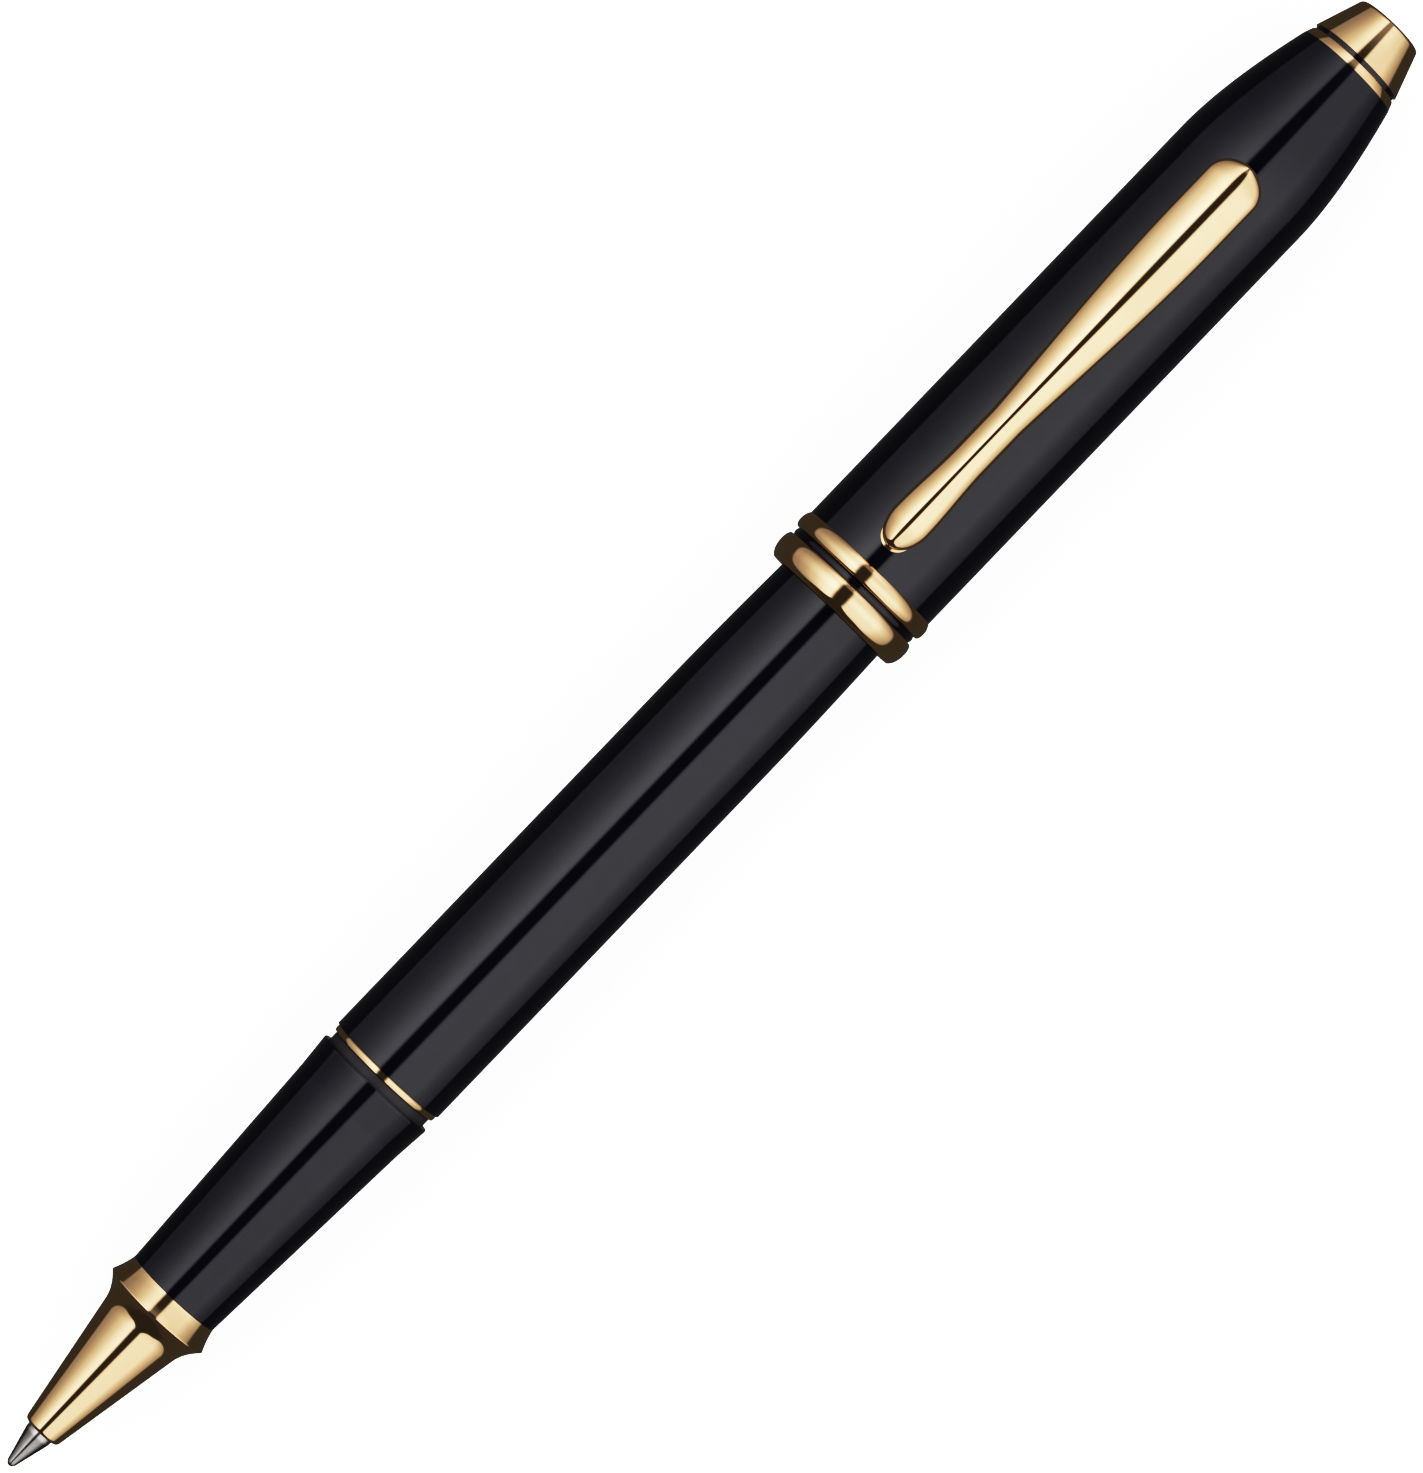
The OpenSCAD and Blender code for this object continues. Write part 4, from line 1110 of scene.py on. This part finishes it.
@dataclass
class Cap(Assembly):
    """The posted cap: lacquered tube, two gold bands, and the liner, hinge and plug inside it."""

    body = Body.CAP
    barrel: Barrel
    wall: float = 0.45
    taper: float = 11.75
    taper_knee: float = 4.6
    top_radius: float = 4.49
    mouth_radius: float = 5.45
    band_length: float = 2.25
    slot_half_width: float = 1.7
    slot_half_length: float = 1.6
    hinge_back: float = 2.2
    hinge_cover: float = 0.88
    pin_radius: float = 0.35
    pin_play: float = 0.01
    carrier_bore: float = 3.296
    carrier_floor: float = 2.65
    leaf_thickness: float = 0.15
    leaf_share: float = 0.985
    band_crest: tuple[float, float, float] = (0.19, 0.64, 0.89)  # start, end and fall, of the band's length
    upper_crest: tuple[float, float, float] = (0.11, 0.4, 0.77)  # the same for the narrow band
    band_lip: float = 0.25
    band_foot: float = 0.06
    neck_groove: tuple[float, float, float] = (0.75, 1.65, 0.2)  # start, end, depth
    spacer_crown: float = 0.12
    spacer_curve: int = 12
    snap_opening: float = 0.3
    liner_head: float = 9.5
    liner_grip: float = 4.0
    liner_step: float = 12.1
    liner_wall: float = 0.5
    liner_end: float = 1.5
    liner_narrowing: float = 1.2
    liner_shelf: float = 0.3
    liner_grooves: tuple[float, ...] = (2.0, 4.5, 7.0)
    liner_groove: tuple[float, float, float] = (1.0, 0.25, 0.2)  # width, depth, flank
    taper_curve_steps: int = 24
    edge: float = 0.03
    glue: float = 0.02
    play: float = 0.06

    def __post_init__(self) -> None:
        """Read the cap's places from the frame."""
        self.tube = span("cap_tube")
        self.carrier = span("clip_carrier")
        self.radius = self.tube.radius / MM
        self.inner = self.radius - self.wall
        self.hinge = Vector((self.carrier.after(self.hinge_back), 0.0,
                             AXIS_Z + self.carrier.radius - self.hinge_cover * MM))

    def build(self) -> None:
        """Build every piece of the cap."""
        self.build_tube()
        self.build_bands()
        self.build_snap_ring()
        self.build_liner()
        self.build_hinge()
        self.build_insert()

    def taper_curve(self, outline: Outline, inset: float) -> Outline:
        """Carry an outline along the cap's rounded taper, this far inside its surface."""
        start = self.tube.before(self.taper)
        return outline.bend((start + self.taper_knee * MM, self.radius - inset),
                            (self.tube.rear, self.top_radius - inset), self.taper_curve_steps)

    def foot_opening(self, name: str, floor: float) -> bpy.types.Object:
        """The shape of the opening that the clip's foot passes through.

        Args:
            name: Name of the cutting tool.
            floor: Its lower end above the pen's axis, in millimetres.

        Returns:
            The tool.
        """
        half_x, half_y = self.slot_half_length * MM, self.slot_half_width * MM
        low = Vector((self.hinge.x - half_x, -half_y, AXIS_Z + floor * MM))
        high = Vector((self.hinge.x + half_x, half_y, AXIS_Z + (self.radius + 1) * MM))
        return block(name, low, high)

    def build_tube(self) -> None:
        """The cap's lacquered tube, with the clip's opening in it."""
        tube, start = self.tube, self.tube.before(self.taper)
        outline = Outline().to(tube.front, self.inner).to(tube.front, self.radius, self.edge)
        outline.to(start, self.radius)
        self.taper_curve(outline, 0.0)
        inside = self.taper_curve(Outline().to(start, self.inner), self.wall)
        outline.corners += inside.corners[::-1]
        cap = outline.spin("cap")
        combine(cap, self.foot_opening("cap_opening", self.barrel.radius), "DIFFERENCE")
        self.shop.fit(cap, LACQUER, "cap_tube", self.body)

    def build_bands(self) -> None:
        """The wide band at the mouth, the dark ring and the narrow band."""
        band, spacer, upper = span("mouth_band"), span("band_spacer"), span("upper_band")
        top, foot, mouth = band.radius / MM, self.radius + self.band_foot, self.mouth_radius
        bore = self.inner - self.glue
        rise, crest, fall = (band.after(self.band_length * share) for share in self.band_crest)
        outline = Outline().to(band.front, mouth, FINE).to(band.front, self.radius - self.band_lip)
        outline.bend((rise, top), (crest, top), BAND_CURVE)
        outline.bend((fall, top), (spacer.front, foot), BAND_CURVE)
        outline.to(spacer.front, bore).to(band.rear, bore, EASED).to(band.rear, mouth, EASED)
        start, end, depth = self.neck_groove
        outline.to(band.after(end), mouth).to(band.after(end), mouth + depth)
        outline.to(band.after(start), mouth + depth).to(band.after(start), mouth)
        self.turn(outline, "mouth_band_wide", GOLD, "mouth_band", SHOWN_STEPS)

        crown, edge = self.spacer_crown, spacer.radius / MM - self.spacer_crown
        outline = Outline().to(spacer.front, self.inner).to(spacer.front, edge)
        outline.bend(((spacer.front + spacer.rear) / 2, edge + 2 * crown), (spacer.rear, edge),
                     self.spacer_curve)
        outline.to(spacer.rear, self.inner)
        self.turn(outline, "band_spacer_dark", LACQUER, "band_spacer", SHOWN_STEPS)

        top, length = upper.radius / MM, (upper.rear - upper.front) / MM
        rise, crest, fall = (upper.after(length * share) for share in self.upper_crest)
        outline = Outline().to(upper.front, self.inner).to(upper.front, foot)
        outline.bend((rise, top), (crest, top), BAND_CURVE)
        outline.bend((fall, top), (upper.rear, self.radius - self.glue), BAND_CURVE)
        outline.to(upper.rear, self.inner)
        self.turn(outline, "upper_band_narrow", GOLD, "upper_band", SHOWN_STEPS)

    def build_snap_ring(self) -> None:
        """The split spring ring inside the mouth."""
        ring = span("snap_ring")
        outer, inner = ring.radius / MM, self.barrel.radius_at(ring.front) + self.play
        outline = Outline().to(ring.front, inner, EASED).to(ring.front, outer, EASED)
        outline.to(ring.rear, outer, EASED).to(ring.rear, inner, EASED)
        split = outline.spin("snap_ring_split", HIDDEN_STEPS, self.snap_opening)
        self.shop.fit(split, SPRING_STEEL, "snap_ring", self.body)

    def build_liner(self) -> None:
        """The moulded liner that grips the posted tail, drawn from the axis round to its closed end."""
        liner = span("cap_liner")
        outer, head, step = liner.radius / MM, liner.after(self.liner_head), liner.after(self.liner_step)
        wide = self.barrel.radius_at(liner.after(self.liner_grip)) + 2 * self.play
        narrow, wall = wide - self.liner_narrowing, self.liner_wall
        floor, shelf = liner.before(self.liner_end), step - self.liner_shelf * MM
        outline = Outline().to(floor, 0.0).to(floor, narrow, ROUND).to(shelf, narrow).to(shelf, wide)
        outline.to(liner.after(self.liner_grip), wide)
        outline.to(liner.front, self.barrel.radius_at(liner.front) + self.play).to(liner.front, outer, ROUND)
        for groove in self.liner_grooves:
            outline.groove(liner.after(groove), outer, self.liner_groove, FINE)
        outline.to(head, outer, ROUND).to(head, wide + wall, SOFT).to(step, wide + wall, SOFT)
        outline.to(step, narrow + wall, SOFT).to(liner.rear, narrow + wall, self.liner_shelf)
        outline.to(liner.rear, 0.0)
        self.turn(outline, "cap_liner_moulded", LINER_PLASTIC, "cap_liner")

    def build_hinge(self) -> None:
        """The carrier ring, the hinge pin and the leaf spring under the clip's heel."""
        ring, bore = self.carrier, self.carrier_bore
        outer, reach = ring.radius / MM, Vector((0.0, 2 * ring.radius, 0.0))
        outline = Outline().to(ring.front, bore, SOFT).to(ring.front, outer, BLUNT)
        outline.to(ring.rear, outer, BLUNT).to(ring.rear, bore, SOFT)
        carrier = outline.spin("clip_carrier_ring", HIDDEN_STEPS)
        combine(carrier, self.foot_opening("carrier_opening", self.carrier_floor), "DIFFERENCE")
        hole = (self.pin_radius + self.pin_play) * MM
        combine(carrier, rod("pin_hole", self.hinge - reach, self.hinge + reach, hole), "DIFFERENCE")
        self.shop.fit(carrier, BRASS, "clip_carrier", self.body)

        low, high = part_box("clip_pin")
        ends = [Vector((self.hinge.x, y, self.hinge.z)) for y in (low.y, high.y)]
        pin = rod("clip_hinge_pin", *ends, self.pin_radius * MM, FINE * MM, PIN_STEPS)
        self.shop.fit(pin, SPRING_STEEL, "clip_pin", self.body)
        self.build_leaf()

    def build_leaf(self) -> None:
        """The bowed leaf: a strip's section spun about an axis across the pen."""
        low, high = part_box("clip_spring")
        half, bow = (high.x - low.x) / 2, high.z - low.z
        radius = (half ** 2 + bow ** 2) / (2 * bow)
        centre = Vector(((low.x + high.x) / 2, 0.0, high.z - radius))
        sweep = 2 * math.asin(half / radius) * self.leaf_share
        mesh, inside = bmesh.new(), radius - self.leaf_thickness * MM
        strip = ((low.y, radius), (high.y, radius), (high.y, inside), (low.y, inside))
        points, edges = draw_line(mesh, ((centre.x, y, centre.z + r) for y, r in strip))
        bmesh.ops.rotate(mesh, verts=points, cent=centre, matrix=Matrix.Rotation(-sweep / 2, 3, "Y"))
        bmesh.ops.spin(mesh, geom=points + edges, cent=centre, axis=(0, 1, 0), dvec=NO_SHIFT,
                       angle=sweep, steps=2 * CURVE_STEPS)
        close_ends(mesh)
        self.shop.fit(finish_mesh(mesh, "clip_leaf_spring"), SPRING_STEEL, "clip_spring", self.body)

    def build_insert(self) -> None:
        """The brass plug in the cap's narrow end."""
        insert, stud, inset = span("cap_insert"), span("finial_stud"), self.wall + self.glue
        guide = self.taper_curve(Outline().to(self.tube.before(self.taper), self.radius - inset), inset)
        inside, hole = [c for c in guide.corners if c.along > insert.front], stud.radius / MM
        outline = Outline().to(insert.front, 0.0).to(insert.front, inside[0].radius / MM - SOFT, SOFT)
        outline.corners += inside[1:]
        outline.to(insert.rear, hole).to(stud.front, hole).to(stud.front, 0.0)
        self.turn(outline, "cap_insert_turned", BRASS, "cap_insert")


@dataclass
class Finial(Assembly):
    """The gold end of the cap: a ring, a black ring that is painted shade in the groove, the stud and the
    finial itself.
    """

    body = Body.CAP
    foot_radius: float = 4.21
    top_radius: float = 2.6
    shoulder_out: float = 0.4
    shoulder_back: float = 0.33
    stud_depth: float = 2.0
    glue: float = 0.02

    def build(self) -> None:
        """Build every piece of the finial."""
        ring, groove, stud, top = (span(n) for n in ("finial_ring", "finial_spacer", "finial_stud", "finial"))
        foot, radius, lip = self.foot_radius, stud.radius / MM, 3 * self.glue
        hole = radius + self.glue
        outline = Outline().to(ring.front, hole).to(ring.front, ring.radius / MM, 0.04)
        outline.to(ring.before(lip), foot + self.glue, CRISP).to(ring.rear, foot - lip).to(ring.rear, hole)
        self.turn(outline, "finial_foot_ring", GOLD, "finial_ring", SHOWN_STEPS)

        # Painted shade: the groove between the ring and the finial is gold in shade, and it is drawn here as
        # a black lacquered ring that stands for that shade.
        outline = Outline().to(groove.front, hole).to(groove.front, groove.radius / MM)
        outline.to(groove.rear, groove.radius / MM).to(groove.rear, hole)
        self.turn(outline, "finial_groove_painted_shade", LACQUER, "finial_spacer", SHOWN_STEPS)

        outline = Outline().to(stud.front, 0.0).to(stud.front, radius, ROUND)
        outline.to(stud.rear, radius, ROUND).to(stud.rear, 0.0)
        self.turn(outline, "finial_stud_turned", BRASS, "finial_stud")

        shoulder, socket = self.top_radius + self.shoulder_out, top.after(self.stud_depth)
        outline = Outline().to(socket, 0.0).to(socket, radius).to(top.front, radius)
        outline.to(top.front, foot, FINE).to(top.before(self.shoulder_back), shoulder)
        outline.bend((top.before(self.glue), shoulder - SOFT), (top.rear, self.top_radius))
        outline.to(top.rear, 0.0)
        self.turn(outline, "finial_cone", GOLD, "finial", SHOWN_STEPS)


@dataclass
class Clip(Assembly):
    """The gold pocket clip: a crowned arm, a pad on the cap and a foot on the hinge pin."""

    body = Body.CLIP
    cap: Cap
    end_round: float = 2.65
    head_round: float = 2.15
    head_reach: float = 0.25
    bulb_fade: float = 6.5
    widen_from: float = 13.2
    widen_to: float = 34.0
    widen_fast: float = 0.7
    head_width: float = 4.80
    waist_width: float = 2.98
    end_width: float = 3.48
    crown: float = 0.9
    edge: float = 0.35
    edge_fullness: float = 12.0
    head_fullness: float = 0.6
    end_lift: float = 0.45
    arm_lift: float = 0.85
    head_lift: float = 0.6
    lift_length: float = 8.0
    pad_radius: float = 1.3
    pad_lead: float = 0.05
    pad_out: float = 0.2
    pad_gap: float = 0.06
    pad_rim: float = 0.34
    pad_dome: float = 0.22
    pad_soft: float = 0.04
    foot_length: float = 2.6
    foot_width: float = 3.0
    foot_edge: float = 0.15
    pin_play: float = 0.03
    underside_edge: float = 0.1
    stations: int = 150
    even_spread: float = 0.15
    crown_steps: int = 36
    sliver: float = 0.04

    def __post_init__(self) -> None:
        """Read the clip's place from the frame."""
        low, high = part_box("clip")
        self.front, self.foot_low = low.x + self.pad_lead * MM, low.z
        self.pad_front = self.front - self.pad_out * MM
        self.length = (high.x - self.front) / MM + self.head_reach

    @staticmethod
    def smooth(share: float) -> float:
        """A step that rises smoothly from 0 to 1."""
        share = min(max(share, 0.0), 1.0)
        return share * share * (3 - 2 * share)

    def roundness(self, along: float) -> float:
        """How full the section is near the clip's round ends.

        Args:
            along: Distance from the lower end, in millimetres.

        Returns:
            0 at either end and 1 along the arm.
        """
        low = max(0.0, (self.end_round - along) / self.end_round)
        high = max(0.0, (along - self.length + self.head_round) / self.head_round)
        return math.sqrt(max(0.0, 1 - max(low, high) ** 2))

    def half_width(self, along: float) -> float:
        """Half of the clip's width.

        Args:
            along: Distance from the lower end, in millimetres.

        Returns:
            The half width in millimetres.
        """
        share = min(max((along - self.widen_from) / (self.widen_to - self.widen_from), 0.0), 1.0)
        fast = math.sin(math.pi / 2 * share)
        opening = (1 - self.widen_fast) * self.smooth(share) + self.widen_fast * fast
        bulb = 1 - self.smooth((along - self.end_round) / self.bulb_fade)
        width = self.waist_width + (self.end_width - self.waist_width) * bulb
        width += (self.head_width - self.waist_width) * opening
        return self.roundness(along) * width / 2

    def underside(self, along: float) -> float:
        """Height of the clip's underside above the pen's axis.

        Args:
            along: Distance from the lower end, in millimetres.

        Returns:
            The height in millimetres.
        """
        rise = (self.arm_lift - self.end_lift) * self.smooth((along - self.end_round) / self.lift_length)
        back = (along - self.length + 2 * self.lift_length) / self.lift_length
        fall = (self.arm_lift - self.head_lift) * self.smooth(back)
        return self.cap.radius + self.end_lift + rise - fall

    def ring_at(self, along: float) -> list[Vector]:
        """The clip's section at one station.

        Args:
            along: Distance from the lower end, in millimetres.

        Returns:
            Its corners, from the left of the underside round over the crown.
        """
        width = max(self.half_width(along), self.sliver)
        at_head = along > self.length / 2
        fullness = max(self.roundness(along), self.sliver) ** (self.head_fullness if at_head else 1.0)
        low, crown = self.underside(along), self.crown * fullness
        soft = min(self.underside_edge, width / 3)
        points = [(-width + soft, 0.0), (width - soft, 0.0), (width - soft * 0.3, soft * 0.3)]
        for i in range(self.crown_steps + 1):
            share = math.sin(math.pi * (0.5 - i / self.crown_steps))
            wall = math.sqrt(max(0.0, 1 - abs(share) ** self.edge_fullness))
            points.append((width * share, soft + (self.edge - soft) * wall + crown * (1 - share * share)))
        points.append((-width + soft * 0.3, soft * 0.3))
        place = self.front + along * MM
        return [Vector((place, y * MM, AXIS_Z + (low + h) * MM)) for y, h in points]

    def pad(self) -> bpy.types.Object:
        """The round pad under the clip's lower end, with a domed top that shows in front of the clip."""
        radius, low = self.pad_radius * MM, AXIS_Z + (self.cap.radius + self.pad_gap) * MM
        rim, dome, centre = self.pad_rim * MM, self.pad_dome * MM, self.pad_front + self.pad_radius * MM
        soft = self.pad_soft * MM
        section = [(0.0, low), (radius - soft, low), (radius, low + soft), (radius, low + rim - soft)]
        for i in range(CURVE_STEPS + 1):
            share = 1 - i / CURVE_STEPS
            section.append(((radius - soft / 2) * share, low + rim + dome * (1 - share * share)))
        mesh = bmesh.new()
        points, edges = draw_line(mesh, ((centre + r, 0.0, z) for r, z in section), closed=False)
        bmesh.ops.spin(mesh, geom=points + edges, cent=(centre, 0.0, 0.0), axis=(0, 0, 1), dvec=NO_SHIFT,
                       angle=math.tau, steps=HIDDEN_STEPS, use_merge=True)
        return finish_mesh(mesh, "clip_pad")

    def station(self, number: int) -> float:
        """Place of a station, which crowd towards the round ends.

        Args:
            number: The station's number.

        Returns:
            Its distance from the lower end, in millimetres.
        """
        share = number / self.stations
        ends = (1 - math.cos(math.pi * share)) / 2
        return self.length * (self.even_spread * share + (1 - self.even_spread) * ends)

    def build(self) -> None:
        """Build the clip and its foot and pad."""
        mesh = bmesh.new()
        _, loop = draw_line(mesh, self.ring_at(0.0))
        for number in range(1, self.stations + 1):
            grown = bmesh.ops.extrude_edge_only(mesh, edges=loop)["geom"]
            loop = [e for e in grown if isinstance(e, bmesh.types.BMEdge)]
            points = [v for v in grown if isinstance(v, bmesh.types.BMVert)]
            for point, target in zip(points, self.ring_at(self.station(number))):
                point.co = target
        close_ends(mesh)
        clip = finish_mesh(mesh, "pocket_clip")

        combine(clip, self.pad(), "UNION")
        hinge, half, side = self.cap.hinge, self.foot_length * MM / 2, self.foot_width * MM / 2
        top = AXIS_Z + (self.underside((hinge.x - self.front) / MM) + self.edge / 2) * MM
        foot = block("clip_foot", Vector((hinge.x - half, -side, self.foot_low)),
                     Vector((hinge.x + half, side, top)), self.foot_edge * MM)
        combine(clip, foot, "UNION")
        reach = Vector((0.0, 2 * side, 0.0))
        hole = (self.cap.pin_radius + self.pin_play) * MM
        combine(clip, rod("foot_hole", hinge - reach, hinge + reach, hole), "DIFFERENCE")
        self.shop.fit(clip, GOLD, "clip", self.body)


# ---------------------------------------------------------------- floor, light and camera


@dataclass
class Studio:
    """A pale floor, soft light from two long panels overhead, and the camera between them."""

    lens: float = 173.6
    sensor: float = 36.0
    distance: float = 0.548
    look_x: float = 1.15
    look_y: float = -0.18
    lean: float = 1.6
    across: tuple[float, float] = (0.6924, -0.7215)
    clip_near: float = 0.01
    clip_far: float = 20.0
    floor_size: float = 3.0
    floor_greys: tuple[float, float] = (0.80, 0.82)
    floor_grain: float = 40.0
    floor_glow: float = 1.5
    backdrop: float = 1.9
    dark: float = 0.08
    side_fill: float = 0.03
    rear_fill: float = 0.26
    full_light: float = 1.5
    centre_slope: float = 12.0
    half_length: float = 64.0
    corner: float = 36.0
    corner_soft: float = 3.0
    far_end: float = 102.0
    reach: float = 110.0
    pole: float = 90.0
    side_rise: tuple[float, float] = (60.0, 100.0)
    rear_rise: tuple[float, float] = (30.0, 46.0)
    rear_width: tuple[float, float] = (20.0, 60.0)
    panel: Levels = (  # angle round the pen, brightness
        (-110, 0.0), (-103, 0.0), (-97, 0.40), (-88, 0.55), (-76, 0.78), (-68, 1.0), (-62, 1.15),
        (-16, 1.2), (-11.5, 1.1), (-7.3, 0.0), (9.0, 0.0), (14, 1.35), (16, 1.5), (22, 1.5),
        (46, 0.90), (68, 0.56), (86, 0.38), (97, 0.33), (103, 0.0), (110, 0.0))
    slopes: Levels = (  # angle towards the pen's ends, share of the brightness
        (-60, 0.57), (-48, 0.70), (-32, 0.80), (-12, 0.84), (-5, 0.96), (0, 1.0), (5, 0.97), (12, 0.86),
        (20, 0.74), (30, 0.72), (46, 0.62), (60, 0.55), (90, 0.5))
    tone: Levels = (  # brightness of the light, brightness shown
        (0.02, 0.0025), (0.05, 0.0085), (0.085, 0.022), (0.12, 0.040), (0.165, 0.070), (0.25, 0.138),
        (0.375, 0.30), (0.5, 0.485), (0.65, 0.655), (0.8, 0.78), (0.975, 0.865), (1.3, 0.94))
    tone_white: float = 1.6
    tone_top: float = 0.985

    def build(self) -> None:
        """Build the floor, the light, the camera and the picture's tone."""
        self.build_floor()
        self.build_light()
        self.build_camera()
        self.set_tone()

    def build_floor(self) -> None:
        """A plain pale floor, which lights nothing itself."""
        mesh = bmesh.new()
        bmesh.ops.create_grid(mesh, x_segments=2, y_segments=2, size=self.floor_size / 2)
        floor = finish_mesh(mesh, "studio_floor")
        made = bpy.data.materials.new("studio_floor")
        made.use_nodes = True
        graph = Graph(made.node_tree)
        grain = graph.noise(place_in(graph), self.floor_grain, 2.0)
        pale = graph.blend(grain, *((grey, grey, grey, 1.0) for grey in self.floor_greys))
        shader = graph.add("BsdfPrincipled", {"Base Color": pale, "Roughness": 0.9, "Specular IOR Level": 0.0,
                                              "Emission Color": pale, "Emission Strength": self.floor_glow})
        graph.add("OutputMaterial", {"Surface": shader.outputs[0]})
        floor.data.materials.append(made)
        for ray in ("glossy", "diffuse", "transmission", "shadow"):
            setattr(floor, "visible_" + ray, False)

    def build_light(self) -> None:
        """Soft light from two long panels on either side of the camera, dim beyond them."""
        world = bpy.data.worlds.new("studio")
        world.use_nodes = True
        bpy.context.scene.world = world
        graph = Graph(world.node_tree)
        ray = graph.add("TexCoord").outputs["Generated"]
        turned = graph.add("VectorRotate", {"Vector": ray, "Angle": math.radians(-self.lean)},
                           rotation_type="X_AXIS").outputs[0]
        x, y, z = graph.add("SeparateXYZ", {"Vector": turned}).outputs
        angle = graph.math("DEGREES", graph.math("ARCTAN2", y, z))
        slope = graph.math("DEGREES", graph.math("ARCSINE", x))
        side = graph.math("ABSOLUTE", angle)
        around = self.profile(graph, angle, self.reach, self.panel, self.full_light)
        along = self.profile(graph, slope, self.pole, self.slopes, 1.0)
        level = graph.math("MULTIPLY", graph.math("MULTIPLY", self.window(graph, side, slope), along),
                           self.full_light)
        behind = graph.math("MULTIPLY", graph.ramp(slope, *self.rear_rise),
                            graph.ramp(side, *self.rear_width, 1.0, 0.0))
        fill = graph.math("MULTIPLY_ADD", behind, self.rear_fill,
                          graph.ramp(side, *self.side_rise, self.dark, self.dark + self.side_fill))
        lit = graph.math("MULTIPLY_ADD", around, level, fill)
        seen = graph.add("LightPath").outputs["Is Camera Ray"]
        strength = graph.blend(seen, lit, (self.backdrop, self.backdrop, self.backdrop, 1.0))
        shader = graph.add("Background", {"Color": strength, "Strength": 1.0})
        graph.add("OutputWorld", {"Surface": shader.outputs[0]})

    def window(self, graph: Graph, side: Socket, slope: Socket) -> Socket:
        """The rounded outline that the light keeps to.

        Args:
            graph: The world's graph.
            side: Angle to either side of straight up, in degrees.
            slope: Angle towards the pen's ends, in degrees.

        Returns:
            1 inside the outline, falling softly to 0 outside it.
        """
        squares = []
        for value, middle, half in ((side, self.far_end / 2, self.far_end / 2),
                                    (slope, self.centre_slope, self.half_length)):
            away = graph.math("ABSOLUTE", graph.math("SUBTRACT", value, middle))
            past = graph.math("MAXIMUM", graph.math("SUBTRACT", away, half - self.corner), 0.0)
            squares.append(graph.math("POWER", past, 2.0))
        edge = graph.math("SQRT", graph.math("ADD", *squares))
        return graph.ramp(edge, self.corner - self.corner_soft, self.corner, 1.0, 0.0)

    @staticmethod
    def profile(graph: Graph, angle: Socket, reach: float, levels: Levels, full: float) -> Socket:
        """Brightness as a function of an angle.

        Args:
            graph: The world's graph.
            angle: The angle in degrees.
            reach: Largest angle either way.
            levels: Angles and the brightness at each.
            full: Brightness that becomes 1.

        Returns:
            The brightness, from 0 to 1.
        """
        ramp = graph.add("ValToRGB", {"Fac": graph.math("MULTIPLY_ADD", angle, 0.5 / reach, 0.5)})
        elements = ramp.color_ramp.elements
        while len(elements) < len(levels):
            elements.new(0.5)
        for element, (degrees, level) in zip(elements, levels):
            element.position = 0.5 + degrees * 0.5 / reach
            element.color = (level / full,) * 3 + (1.0,)
        return ramp.outputs["Color"]

    def build_camera(self) -> None:
        """The camera, with the pen running up to the right."""
        low, high = CAD_BOX
        target = Vector(((low.x + high.x) / 2 + self.look_x * MM, self.look_y * MM, AXIS_Z))
        lean = math.radians(self.lean)
        back = Vector((0.0, -math.sin(lean), math.cos(lean)))
        right = Vector((*self.across, 0.0)).normalized()
        right = (right - back * right.dot(back)).normalized()
        up = back.cross(right)
        data = bpy.data.cameras.new("camera")
        data.lens, data.sensor_width, data.sensor_fit = self.lens, self.sensor, "AUTO"
        data.clip_start, data.clip_end = self.clip_near, self.clip_far
        camera = bpy.data.objects.new("camera", data)
        bpy.context.scene.collection.objects.link(camera)
        turn = Matrix((right, up, back)).transposed().to_4x4()
        camera.matrix_world = Matrix.Translation(target + back * self.distance) @ turn
        bpy.context.scene.camera = camera

    def set_tone(self) -> None:
        """A gentle S-shaped tone, as a studio picture has."""
        view = bpy.context.scene.view_settings
        view.view_transform = "Standard"
        view.use_curve_mapping = True
        mapping = view.curve_mapping
        mapping.white_level = (self.tone_white,) * 3
        *_, curve = mapping.curves
        curve.points[0].location = (0.0, 0.0)
        curve.points[1].location = (1.0, self.tone_top)
        for level, shown in self.tone:
            curve.points.new(level / self.tone_white, shown)
        mapping.update()


def main() -> None:
    """Build the pen, then the studio round it."""
    logging.basicConfig(level=logging.INFO, format="%(message)s")
    shop = Workshop()
    barrel = Barrel(shop)
    barrel.build()
    Refill(shop).build()
    Section(shop).build()
    cap = Cap(shop, barrel)
    cap.build()
    Finial(shop).build()
    Clip(shop, cap).build()
    Studio().build()


if __name__ == "__main__":
    main()
